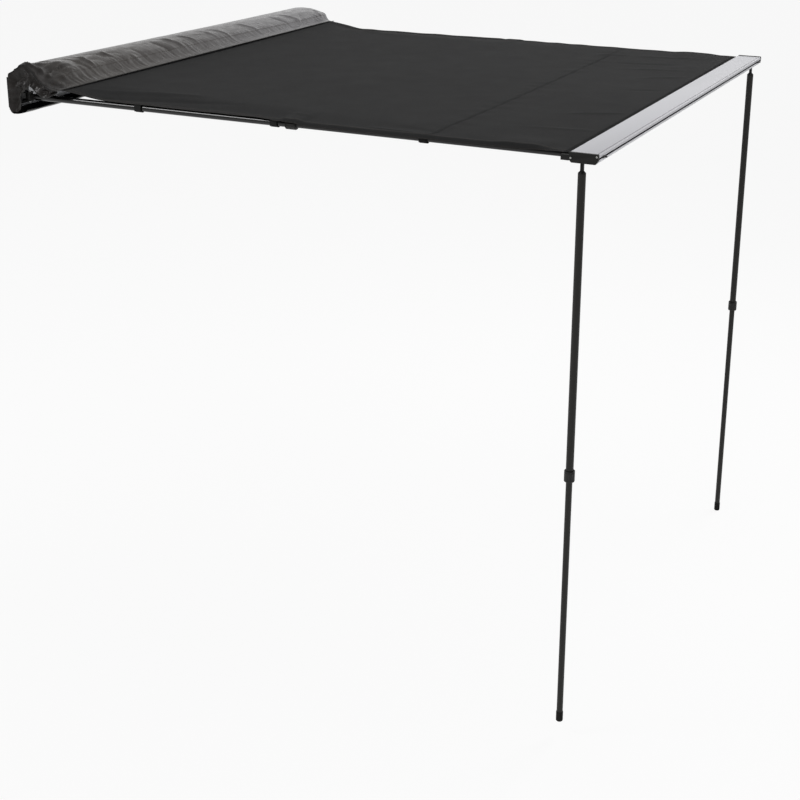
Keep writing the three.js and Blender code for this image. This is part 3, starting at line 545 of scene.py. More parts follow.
@dataclass
class Palette:
    """All the finishes on the awning, each built once."""

    built: dict[str, bpy.types.Material] = field(default_factory=dict)

    anodised = DrawnMetal("satin_anodised", "anodised_aluminium", (0.68, 0.68, 0.71), 0.40, metallic=0.9)
    # Painted shade: a near-black finish for the faces in the rail's front groove, its front fine line and its
    # rebate, where shade falls.
    groove = DrawnMetal("groove_anodised", "anodised_aluminium", (0.03, 0.03, 0.032), 0.6, metallic=0.6)
    board = DrawnMetal("mill_anodised", "anodised_aluminium", (0.60, 0.61, 0.63), 0.4, metallic=0.9)
    arm_tube = DrawnMetal("gloss_black_tube", "black_tube", (0.005, 0.005, 0.005), 0.15, specular=0.55,
                          lines=Grain.ALONG_Y, wear=0.4)
    arm_inner = DrawnMetal("satin_inner_tube", "black_tube", (0.013, 0.012, 0.012), 0.36,
                           lines=Grain.ALONG_Y, wear=0.4)
    leg_tube = DrawnMetal("satin_leg_tube", "black_tube", (0.020, 0.019, 0.017), 0.44, specular=0.32,
                          lines=Grain.ALONG_Z, wear=0.4)
    bracket = DrawnMetal("coated_bracket", "black_tube", (0.016, 0.016, 0.016), 0.42,
                         lines=Grain.COARSE, wear=0.3)
    plastic = Finish("moulded_nylon", "black_plastic", (0.010, 0.0098, 0.009), 0.5, specular=0.28)
    ribbed = Finish("lock_collar_nylon", "black_plastic", (0.013, 0.0125, 0.0115), 0.42, specular=0.35)
    rubber = Finish("foot_rubber", "rubber", (0.011, 0.0105, 0.010), 0.82, specular=0.25)
    steel = DrawnMetal("plated_steel", "steel", (0.62, 0.62, 0.60), 0.26, metallic=1.0,
                       lines=Grain.FINE, wear=0.2)
    dark_steel = DrawnMetal("blacked_steel", "steel", (0.07, 0.07, 0.07), 0.4, metallic=0.6, specular=0.4,
                            lines=Grain.FINE, wear=0.3)
    canvas = Canvas("charcoal_canvas", "canopy_cloth", (0.0205, 0.0206, 0.0208), 0.9, specular=0.12)
    bead = Finish("keder_bead", "canopy_cloth", (0.010, 0.010, 0.010), 0.6, specular=0.3)
    vinyl = BagVinyl("grey_bag_vinyl", "bag_vinyl", (0.127, 0.124, 0.129), 0.31, specular=0.55)
    # Painted shade: a darker copy of the bag vinyl for the near end panel, with less gloss too.
    end_vinyl = BagVinyl("dark_end_vinyl", "bag_vinyl", (0.080, 0.077, 0.080), 0.30, specular=0.28)
    lining = Finish("bag_lining", "bag_vinyl", (0.012, 0.012, 0.012), 0.7, specular=0.3)
    webbing = Webbing("black_webbing", "strap_webbing", (0.014, 0.014, 0.014), 0.86, specular=0.25)
    thread = Finish("hem_thread", "canopy_cloth", (0.062, 0.050, 0.040), 0.8, specular=0.25)
    dark_thread = Finish("seam_thread", "canopy_cloth", (0.009, 0.009, 0.009), 0.8, specular=0.2)
    zip_tooth = Finish("zip_tooth", "bag_vinyl", (0.030, 0.029, 0.028), 0.35)

    def of(self, finish: Finish) -> bpy.types.Material:
        """Gives a finish's material.

        Args:
            finish: The finish.

        Returns:
            Its material, built once.
        """
        if finish.name not in self.built:
            self.built[finish.name] = finish.material()
        return self.built[finish.name]


# Meshes


def mesh_object(name: str, vertices: Sequence[Sequence[float]], faces: Sequence[Sequence[int]],
                cloth: Sequence[Pair] | None = None) -> bpy.types.Object:
    """Makes an object from vertices and faces.

    Args:
        name: The object's name.
        vertices: Its points, in the awning's frame.
        faces: Vertex numbers of each face.
        cloth: Each vertex's place on the flat cloth, for the UV map named cloth.

    Returns:
        The object, linked to the scene.
    """
    mesh = bpy.data.meshes.new(name)
    mesh.from_pydata([tuple(v) for v in vertices], [], faces)
    if cloth is not None:
        layer = mesh.uv_layers.new(name="cloth")
        for loop in mesh.loops:
            layer.data[loop.index].uv = cloth[loop.vertex_index]
    made = bpy.data.objects.new(name, mesh)
    bpy.context.scene.collection.objects.link(made)
    return made


def grid(name: str, rows: Sequence[float], columns: Sequence[float],
         place: Callable[[float, float], Vector], flip: bool = False) -> bpy.types.Object:
    """Makes an open sheet over two ranges of numbers.

    Args:
        name: The object's name.
        rows: The first numbers, which are U in the sheet's UV map too.
        columns: The second numbers, which are V too.
        place: Gives the point at two numbers.
        flip: Whether the faces are turned over.

    Returns:
        The object.
    """
    vertices = [place(r, c) for r in rows for c in columns]
    wide = len(columns)
    faces = [(i * wide + j, (i + 1) * wide + j, (i + 1) * wide + j + 1, i * wide + j + 1)
             for i in range(len(rows) - 1) for j in range(wide - 1)]
    cloth = [(r, c) for r in rows for c in columns]
    return mesh_object(name, vertices, [f[::-1] for f in faces] if flip else faces, cloth)


def tidied(obj: bpy.types.Object) -> bpy.types.Object:
    """Merges an object's doubled points and turns its faces out.

    Args:
        obj: The object.

    Returns:
        The same object.
    """
    edit = bmesh.new()
    edit.from_mesh(obj.data)
    bmesh.ops.remove_doubles(edit, verts=edit.verts, dist=1e-6)
    bmesh.ops.recalc_face_normals(edit, faces=edit.faces)
    edit.to_mesh(obj.data)
    edit.free()
    return obj


def tubed(rings: int, sides: int) -> list[tuple[int, int, int, int]]:
    """Joins closed rings of points, each to the next.

    Args:
        rings: How many rings there are.
        sides: How many points each has.

    Returns:
        The faces.
    """
    steps = [(s, (s + 1) % sides) for s in range(sides)]
    return [(i * sides + s, i * sides + after, (i + 1) * sides + after, (i + 1) * sides + s)
            for i in range(rings - 1) for s, after in steps]


def turned(name: str, profile: Sequence[Pair], axis: Axis, origin: Vector, segments: int = 48,
           warp: Warp | None = None) -> bpy.types.Object:
    """Turns a profile round an axis.

    Args:
        name: The object's name.
        profile: (radius, place along the axis) pairs; one that ends where it starts is a closed ring.
        axis: The axis.
        origin: A point on the axis, from which places are counted.
        segments: How many steps the turn has.
        warp: Gives what is added to the radius of a profile point at an angle.

    Returns:
        The object.
    """
    vertices = []
    for number, (radius, place) in enumerate(profile):
        for step in range(segments):
            angle = math.tau * step / segments
            r = radius + (warp(number, angle) if warp else 0.0)
            flat = [r * math.cos(angle), r * math.sin(angle)]
            flat.insert(axis.value, place)
            vertices.append(origin + Vector(flat))
    return tidied(mesh_object(name, vertices, tubed(len(profile), segments)))


def rod(name: str, radius: float, half: float, centre: Vector) -> bpy.types.Object:
    """Makes a plain rod along X, such as the bead of a cloth's edge."""
    profile = [(0.0, -half), (radius, -half), (radius, half), (0.0, half)]
    return turned(name, profile, Axis.X, centre, 16)


def extruded(name: str, outline: Sequence[Pair], start: float, end: float) -> bpy.types.Object:
    """Makes a prism along X.

    Args:
        name: The object's name.
        outline: Its section, as (y, z) points.
        start: X at one end.
        end: X at the other end.

    Returns:
        The object.
    """
    count = len(outline)
    vertices = [(x, y, z) for x in (start, end) for y, z in outline]
    ends = [tuple(range(count)), tuple(range(count, 2 * count))]
    return tidied(mesh_object(name, vertices, [*tubed(2, count), *ends]))


def wire(name: str, path: Sequence[Vector], radius: float, sides: int = 10) -> bpy.types.Object:
    """Makes a round bar along a path, closed at both ends.

    Args:
        name: The object's name.
        path: The points of its middle line.
        radius: Its radius.
        sides: How many points lie round it.

    Returns:
        The object.
    """
    vertices: list[Vector] = []
    up = Vector((0.0, 0.0, 1.0))
    for i, point in enumerate(path):
        way = (path[min(i + 1, len(path) - 1)] - path[max(i - 1, 0)]).normalized()
        across = way.cross(up).normalized() if abs(way.z) < 0.98 else Vector((1.0, 0.0, 0.0))
        high = across.cross(way).normalized()
        for angle in (math.tau * s / sides for s in range(sides)):
            vertices.append(point + radius * (math.cos(angle) * across + math.sin(angle) * high))
    ends = [tuple(range(sides)), tuple(range((len(path) - 1) * sides, len(path) * sides))]
    return tidied(mesh_object(name, vertices, [*tubed(len(path), sides), *ends]))


def joined(name: str, parts: Sequence[bpy.types.Object]) -> bpy.types.Object:
    """Puts several objects' meshes into one object and removes them.

    Args:
        name: The new object's name.
        parts: The objects.

    Returns:
        The new object.
    """
    edit = bmesh.new()
    for part in parts:
        edit.from_mesh(part.data)
        bpy.data.objects.remove(part)
    made = mesh_object(name, [], [])
    edit.to_mesh(made.data)
    edit.free()
    return made


def settled(obj: bpy.types.Object) -> bpy.types.Object:
    """Turns an object's modifiers into its mesh.

    Args:
        obj: The object.

    Returns:
        The same object.
    """
    bpy.context.view_layer.update()
    depsgraph = bpy.context.evaluated_depsgraph_get()
    mesh = bpy.data.meshes.new_from_object(obj.evaluated_get(depsgraph), preserve_all_data_layers=True,
                                           depsgraph=depsgraph)
    obj.modifiers.clear()
    obj.data = mesh
    mesh.name = obj.name
    return obj


def bevelled(obj: bpy.types.Object, width: float) -> bpy.types.Object:
    """Rounds an object's sharp edges.

    Args:
        obj: The object.
        width: How wide the rounding is.

    Returns:
        The same object.
    """
    bevel = obj.modifiers.new("edges", "BEVEL")
    bevel.width, bevel.segments = width, 2
    bevel.limit_method, bevel.angle_limit = "ANGLE", math.radians(32)
    bevel.use_clamp_overlap = True
    return settled(obj)


def shaded(obj: bpy.types.Object, degrees: float = 34.0) -> bpy.types.Object:
    """Shades an object smooth.

    Args:
        obj: The object.
        degrees: The angle past which an edge stays sharp.

    Returns:
        The same object.
    """
    obj.data.polygons.foreach_set("use_smooth", [True] * len(obj.data.polygons))
    obj.data.set_sharp_from_angle(angle=math.radians(degrees))
    return obj


def thickened(obj: bpy.types.Object, thickness: float, lined: bool = False) -> bpy.types.Object:
    """Gives a sheet its thickness.

    Args:
        obj: The sheet.
        thickness: The thickness.
        lined: Whether its second material is inside.

    Returns:
        The same object.
    """
    shell = obj.modifiers.new("thickness", "SOLIDIFY")
    shell.thickness, shell.offset = thickness, 0.0
    shell.use_even_offset = False
    shell.material_offset = 1 if lined else 0
    return settled(obj)


class Workshop:
    """Fits pieces to the frame: finish, body, replaced CAD nodes and a line in the log."""

    def __init__(self, frame: dict, palette: Palette) -> None:
        """Keeps the loaded frame and the finishes."""
        self.nodes = frame["nodes"]
        self.palette = palette

    def fit(self, obj: bpy.types.Object, finish: Finish, *replaced: str,
            body: str | None = None) -> bpy.types.Object:
        """Fits one piece.

        Args:
            obj: The piece, with its mesh in the awning's frame.
            finish: Its finish, used where it has no material yet.
            replaced: The CAD nodes that it stands for.
            body: The body that it rides on, if it isn't that of the first replaced node.

        Returns:
            The piece.
        """
        if not obj.data.materials:
            obj.data.materials.append(self.palette.of(finish))
        owner = body or self.nodes[replaced[0]]["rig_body"]
        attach(obj, owner)
        if replaced:
            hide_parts(*replaced)
        log.info("%s: %d faces, rides on %s", obj.name, len(obj.data.polygons), owner)
        return obj

    def soften(self, node: str, finish: Finish, width: float,
               cut: tuple[Vector, Vector] | None = None, proud: float = 0.0) -> bpy.types.Object:
        """Replaces a CAD node by a merged copy with rounded edges.

        Args:
            node: The CAD node.
            finish: The copy's finish.
            width: How wide the rounding is.
            cut: A plane's point and outward normal, past which the copy is cut away.
            proud: How far the top at z 0 stands above the CAD node's.

        Returns:
            The piece.
        """
        source = self.nodes[node].data
        made = mesh_object(f"{node}_moulded", [v.co for v in source.vertices],
                           [tuple(p.vertices) for p in source.polygons])
        edit = bmesh.new()
        edit.from_mesh(made.data)
        bmesh.ops.remove_doubles(edit, verts=edit.verts, dist=2e-6)
        bmesh.ops.dissolve_limit(edit, angle_limit=math.radians(0.5), verts=edit.verts, edges=edit.edges)
        for vertex in edit.verts:
            if vertex.co.z > -1e-5:
                vertex.co.z += proud
        if cut:
            bmesh.ops.bisect_plane(edit, geom=[*edit.verts, *edit.edges, *edit.faces], plane_co=cut[0],
                                   plane_no=cut[1], clear_outer=True)
            bmesh.ops.triangle_fill(edit, edges=[e for e in edit.edges if e.is_boundary], use_dissolve=True)
            bmesh.ops.recalc_face_normals(edit, faces=edit.faces)
        edit.to_mesh(made.data)
        edit.free()
        return self.fit(shaded(bevelled(made, width)), finish, node)

    def coat(self, node: str, finish: Finish) -> None:
        """Gives a CAD node that keeps its shape its finish.

        Args:
            node: The CAD node.
            finish: The finish.
        """
        for held in self.nodes[node].material_slots:
            held.material = self.palette.of(finish)
        log.info("%s: CAD shape in %s", node, finish.name)


@dataclass(frozen=True)
class Block:
    """A stitch or tooth: the way to the next, its length, width and height, and its largest chance turn."""

    pitch: float
    size: Triple
    turn: float


class RowMaker:
    """Lays small blocks along lines with Geometry Nodes: stitches and zip teeth."""

    def __init__(self, palette: Palette) -> None:
        """Builds the node tree once; its inputs are known by their identifiers.

        Args:
            palette: The finishes.
        """
        self.palette = palette
        self.tree = bpy.data.node_groups.new("laid_row", "GeometryNodeTree")
        panel = self.tree.interface
        panel.new_socket(name="Geometry", in_out="INPUT", socket_type="NodeSocketGeometry")
        kinds = {"Pitch": "NodeSocketFloat", "Size": "NodeSocketVector", "Turn": "NodeSocketFloat",
                 "Finish": "NodeSocketMaterial"}
        self.inputs = {name: panel.new_socket(name=name, in_out="INPUT", socket_type=kind).identifier
                       for name, kind in kinds.items()}
        panel.new_socket(name="Geometry", in_out="OUTPUT", socket_type="NodeSocketGeometry")
        self._wire_up()

    def _wire_up(self) -> None:
        """Adds the nodes: line, even points, one turned block on each, and real geometry at the end."""
        graph = Graph(self.tree)
        given = graph.node("NodeGroupInput").outputs
        line = graph.node("GeometryNodeMeshToCurve", {}, {0: given["Geometry"]}).outputs[0]
        even = graph.node("GeometryNodeResampleCurve", {"mode": "LENGTH"},
                          {"Curve": line, "Length": given["Pitch"]}).outputs[0]
        tangent = graph.node("GeometryNodeInputTangent").outputs[0]
        ahead = graph.node("FunctionNodeAlignRotationToVector", {"axis": "X"}, {"Vector": tangent}).outputs[0]
        level = graph.node("FunctionNodeAlignRotationToVector", {"axis": "Z", "pivot_axis": "X"},
                           {"Rotation": ahead, "Vector": (0.0, 0.0, 1.0)}).outputs[0]
        less = graph.node("ShaderNodeMath", {"operation": "MULTIPLY"}, {0: given["Turn"], 1: -1.0}).outputs[0]
        chance = graph.node("FunctionNodeRandomValue", {"data_type": "FLOAT"},
                            {2: less, 3: given["Turn"], "Seed": 7}).outputs[1]
        spin = graph.node("ShaderNodeCombineXYZ", {}, {2: chance}).outputs[0]
        loose = graph.node("FunctionNodeRotateRotation", {"rotation_space": "LOCAL"},
                           {0: level, 1: spin}).outputs[0]
        block = graph.node("GeometryNodeMeshCube", {}, {"Size": given["Size"]}).outputs[0]
        laid = graph.node("GeometryNodeInstanceOnPoints", {}, {"Points": even, "Instance": block,
                                                               "Rotation": loose}).outputs[0]
        real = graph.node("GeometryNodeRealizeInstances", {}, {0: laid}).outputs[0]
        dressed = graph.node("GeometryNodeSetMaterial", {},
                             {0: real, "Material": given["Finish"]}).outputs[0]
        graph.node("NodeGroupOutput", {}, {0: dressed})

    def lay(self, name: str, rows: Sequence[Sequence[Vector]], block: Block,
            finish: Finish) -> bpy.types.Object:
        """Lays blocks along rows.

        Args:
            name: The new object's name.
            rows: The points of each line.
            block: What is laid.
            finish: The blocks' finish.

        Returns:
            The object, a plain mesh.
        """
        vertices = [tuple(p) for row in rows for p in row]
        edges, start = [], 0
        for row in rows:
            edges += [(start + i, start + i + 1) for i in range(len(row) - 1)]
            start += len(row)
        made = mesh_object(name, [], [])
        made.data.from_pydata(vertices, edges, [])
        modifier = made.modifiers.new("row", "NODES")
        modifier.node_group = self.tree
        given = {"Pitch": block.pitch, "Size": block.size, "Turn": block.turn,
                 "Finish": self.palette.of(finish)}
        for key, value in given.items():
            modifier[self.inputs[key]] = value
        return settled(made)


# The awning's sub-assemblies


@dataclass
class Canopy:
    """The canopy cloth, with its beads, its seam and its stitches."""

    shop: Workshop
    rows: RowMaker
    half: float = 0.984
    front: float = -2.1289
    back: float = -0.0191
    front_level: float = -0.0051
    back_level: float = 0.038
    bag_edge: float = -0.225
    bag_level: float = 0.020
    sag: float = 0.010
    hem: float = 0.030
    hem_level: float = -0.0030
    far_hem_level: float = -0.0006
    lock_level: float = 0.0028
    lock: float = -1.147
    seam: float = -1.645
    seam_half: float = 0.0072
    layer: float = 0.0007
    thickness: float = 0.0008
    bead_radius: float = 0.0029
    stitch: Block = Block(0.0062, (0.0040, 0.0009, 0.0006), 0.09)
    keep: float = 0.5829
    # How far from a lock the hem starts to rise for it and over what length, with the rail out and in.
    room: Pair = (0.050, 0.028)
    later_room: Pair = (0.110, 0.070)
    # Where the cloth comes down on the arms: over which |x|, up to which y and how far behind the rail.
    tied_x: Pair = (0.80, 0.955)
    tied_back: float = -0.41
    tied_front: float = 0.11
    # The strip outside the arms: its width, how far it hangs, and where it does, by -y and behind the rail.
    skirt: float = 0.019
    skirt_drop: float = 0.0085
    skirt_back: Pair = (1.07, 1.145)
    skirt_front: Pair = (0.02, 0.16)
    # How far the hems are drawn in, and from which |x| and which y.
    draw_in: float = 0.017
    draw_x: float = 0.75
    draw_front: Pair = (-1.14, -1.00)
    draw_back: float = -0.40
    # How far from the rail and from the bag the ripples die away.
    calm: Pair = (0.10, 0.06)
    # The heights of the wide and the small waves, and of the hems' flutter on the near and the far side.
    waves: Pair = (0.0018, 0.0008)
    flutter: Pair = (0.0003, 0.0008)
    flutter_width: float = 0.10
    pucker: float = 0.0007
    pucker_width: float = 0.09
    # How far inside an edge each hem stitch line runs, and how far beside the seam each of its lines does.
    hem_lines: Pair = (0.003, 0.026)
    seam_lines: Pair = (-0.0045, 0.0045)
    # Each fold: where it starts and ends as (x, y), its height and its width.
    folds: tuple[Fold, ...] = tuple(Fold(*row) for row in (
        ((-0.975, -0.24), (-0.860, -0.86), -0.0034, 0.013), ((-0.905, -0.24), (-0.790, -0.72), 0.0032, 0.016),
        ((-0.430, -1.91), (-0.335, -2.10), 0.0036, 0.009), ((0.325, -1.93), (0.425, -2.09), 0.0032, 0.010),
        ((0.755, -1.60), (0.800, -1.71), 0.0030, 0.009), ((-0.870, -1.08), (-0.890, -1.19), 0.0026, 0.008),
        ((0.600, -1.72), (0.665, -1.99), -0.0030, 0.012), ((0.500, -1.80), (0.560, -2.05), 0.0026, 0.012),
        ((0.800, -1.76), (0.845, -2.03), 0.0028, 0.011), ((-0.935, -1.42), (-0.950, -1.62), 0.0032, 0.010),
        ((-0.885, -1.50), (-0.915, -1.68), -0.0024, 0.012), ((-0.700, -1.86), (-0.655, -2.10), 0.0022, 0.012),
        ((0.880, -0.30), (0.800, -0.62), 0.0026, 0.016), ((0.060, -1.95), (0.120, -2.11), -0.0024, 0.013),
    ))

    def level(self, x: float, y: float) -> float:
        """Finds the cloth's height: slack, and raised over the arms' locks with the rail out and in.

        Args:
            x: The place across the flat cloth.
            y: The place along it, from the rail to the board.

        Returns:
            The height.
        """
        if y < self.bag_edge:
            rise = mix(self.front_level, self.bag_level, (y - self.front) / (self.bag_edge - self.front))
        else:
            rise = mix(self.bag_level, self.back_level, (y - self.bag_edge) / (self.back - self.bag_edge))
        free = math.sin(math.pi * (y - self.front) / (self.back - self.front))
        cloth = rise - self.sag * (1 - (x / self.half) ** 2) * free
        shortened = self.back + (self.lock - self.back) / self.keep
        room = ease(self.room[0] - abs(y - self.lock), 0.0, self.room[1])
        later_room = ease(self.later_room[0] - abs(y - shortened), 0.0, self.later_room[1])
        low = self.hem_level if x < 0 else self.far_hem_level
        over_arm = mix(low, self.lock_level, max(room, later_room))
        over_arm = mix(self.front_level, over_arm, ease(y, self.front, self.front + self.tied_front))
        tied = ease(abs(x), *self.tied_x) * (1 - ease(y, self.tied_back, self.bag_edge))
        skirt = ease(self.skirt - (self.half - abs(x)), 0.0, self.skirt)
        hang = ease(-y, *self.skirt_back) * ease(y, *(self.front + step for step in self.skirt_front))
        drop = (self.skirt_drop + (self.lock_level - low) * later_room) * skirt * hang
        return mix(cloth, over_arm, tied) - drop

    def drawn_in(self, x: float, y: float) -> float:
        """Returns a column's true X where the hems curve inward beside the arms."""
        inward = self.draw_in * ease(y, *self.draw_front) * (1 - 0.5 * ease(y, self.draw_back, self.bag_edge))
        return x - math.copysign(inward * ease(abs(x), self.draw_x, self.half), x)

    def ripple(self, x: float, y: float) -> float:
        """Finds the small folds and waves that lie on the level surface.

        Args:
            x: The place across the flat cloth.
            y: The place along it, from the rail to the board.

        Returns:
            How far they stand above it.
        """
        free = min(1.0, (y - self.front) / self.calm[0], (self.bag_edge - y) / self.calm[1])
        if free <= 0:
            return 0.0
        spot = Vector((x * 1.7, y * 2.3, 0.4))
        wave = self.waves[0] * noise.noise(spot) + self.waves[1] * noise.noise(spot * 4.3)
        hem = ease(self.flutter_width - (self.half - abs(x)), 0.0, self.flutter_width)
        wave += self.flutter[x > 0] * math.sin(y * 37 + 7 * noise.noise(spot * 1.4)) * hem
        seam = ease(self.pucker_width - abs(y - self.seam), 0.0, self.pucker_width)
        wave += self.pucker * math.sin(x * 60 + 5 * noise.noise(spot * 3)) * seam
        for fold in self.folds:
            share, distance = fold.seen_from(x, y)
            off = distance / fold.width
            wave += fold.lift(share, math.exp(-off * off), 0.2)
        return wave * ease(free, 0.0, 1.0)

    def place(self, y: float, x: float) -> Vector:
        """Finds a point of the cloth, with the doubled hems and the lapped seam standing proud.

        Args:
            y: The place along it, from the rail to the board.
            x: The place across the flat cloth.

        Returns:
            The point.
        """
        doubled = ease(self.hem + 0.0006 - (self.half - abs(x)), 0.0, 0.0012)
        lapped = ease(self.seam_half + 0.0005 - abs(y - self.seam), 0.0, 0.001)
        height = self.level(x, y) + self.ripple(x, y) + self.layer * max(doubled, lapped)
        return Vector((self.drawn_in(x, y), y, height))

    def row(self, points: Sequence[Pair]) -> list[Vector]:
        """Returns a line of stitches that lies on the cloth, from (x, y) points."""
        lift = Vector((0.0, 0.0, self.thickness / 2 + 0.0002))
        return [self.place(y, x) + lift for x, y in points]

    def build(self) -> None:
        """Builds the cloth, its two beads and its stitching, each with a mesh of its own."""
        edges = [self.half - e for e in (0.0, 0.0007, 0.004, 0.010, 0.016, 0.022, 0.0294, 0.0306, 0.038)]
        columns = spaced(-0.944, 0.944, 150, *edges, *(-e for e in edges))
        seam = [self.seam + sign * (self.seam_half + step) for sign in (-1, 1) for step in (-0.0005, 0.0005)]
        lines = spaced(self.front, self.back, 178, *seam, self.bag_edge)
        cloth = grid("canopy_cloth_sheet", lines, columns, self.place, flip=True)
        cloth = shaded(thickened(cloth, self.thickness), 60)
        beads = [rod(f"canopy_bead_{name}", self.bead_radius, self.half, Vector((0.0, y, z)))
                 for name, y, z in (("front", self.front, self.front_level),
                                    ("rear", self.back, self.back_level))]
        ys = spaced(-2.10, -0.24, 120)
        xs = spaced(-0.975, 0.975, 110)
        hems = [self.row([(sign * (self.half - inset), y) for y in ys])
                for sign in (-1, 1) for inset in self.hem_lines]
        seams = [self.row([(x, self.seam + step) for x in xs]) for step in self.seam_lines]
        palette = self.shop.palette
        stitches = [self.rows.lay(name, rows, self.stitch, finish)
                    for name, rows, finish in (("canopy_hem_stitches", hems, palette.thread),
                                               ("canopy_seam_stitches", seams, palette.dark_thread))]
        self.shop.fit(cloth, palette.canvas, "canopy")
        for extra in (*beads, *stitches):
            self.shop.fit(shaded(extra), palette.bead, body="backboard_group")
        for piece in (cloth, *beads, *stitches):
            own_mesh(piece)


@dataclass
class Straps:
    """The webbing straps that hold the canopy's hems to the arms."""

    shop: Workshop
    canopy: Canopy
    arm_x: float = 0.955
    arm_z: float = -0.016
    width: float = 0.0265
    radius: float = 0.0128
    slack: float = 0.0012
    thickness: float = 0.0012
    lap: float = 0.0010
    tail: float = 0.020
    places: tuple[float, ...] = (-1.627, -1.084, -0.541)

    def loop(self, side: Side, y: float, name: str) -> bpy.types.Object:
        """Makes one strap: a loop under the arm, flat against the cloth, with a loose end.

        Args:
            side: The arm's side.
            y: Where along the arm it is.
            name: The CAD node's name.

        Returns:
            The strap.
        """
        middle = side.value * self.arm_x
        top, low = self.canopy.level(middle, y) - self.lap, self.arm_z - self.slack
        path = [Vector((middle + self.radius * math.cos(a), 0.0, low + self.radius * math.sin(a)))
                for a in (math.radians(d) for d in range(180, 361, 15))]
        path = [Vector((middle - self.radius, 0.0, top)), *path, Vector((middle + self.radius, 0.0, top)),
                Vector((middle - self.radius, 0.0, top + 0.0001))]
        length = 0.0
        for a, b in zip(path, path[1:]):
            length += (b - a).length
        steps = [-0.5, -0.46, -0.25, 0.0, 0.25, 0.46, 0.5]
        tail_x = middle + side.value * (self.radius + 0.0016)

        def round_arm(run: float, across: float) -> Vector:
            """Returns a point of the strap's middle surface."""
            return along(path, run / length) + Vector((0.0, y + across, 0.0))

        def hanging(run: float, across: float) -> Vector:
            """Returns a point of the loose end."""
            return Vector((tail_x + side.value * 0.0010 * math.sin(run * 150), y + across, top - 0.002 - run))

        loop = grid(name, spaced(0.0, length, 44), [s * self.width for s in steps], round_arm)
        tail = grid(f"{name}_tail", spaced(0.0, self.tail, 10), [s * self.width * 0.96 for s in steps],
                    hanging)
        parts = [thickened(loop, self.thickness), thickened(tail, self.thickness)]
        return shaded(joined(f"{name}_webbing", parts), 40)

    def build(self) -> None:
        """Builds the six straps, each with a mesh of its own."""
        for side in Side:
            for number, y in enumerate(self.places, 1):
                node = f"canopy_strap_{side.word}_{number}"
                strap = self.shop.fit(self.loop(side, y, node), self.shop.palette.webbing, node)
                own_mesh(strap)


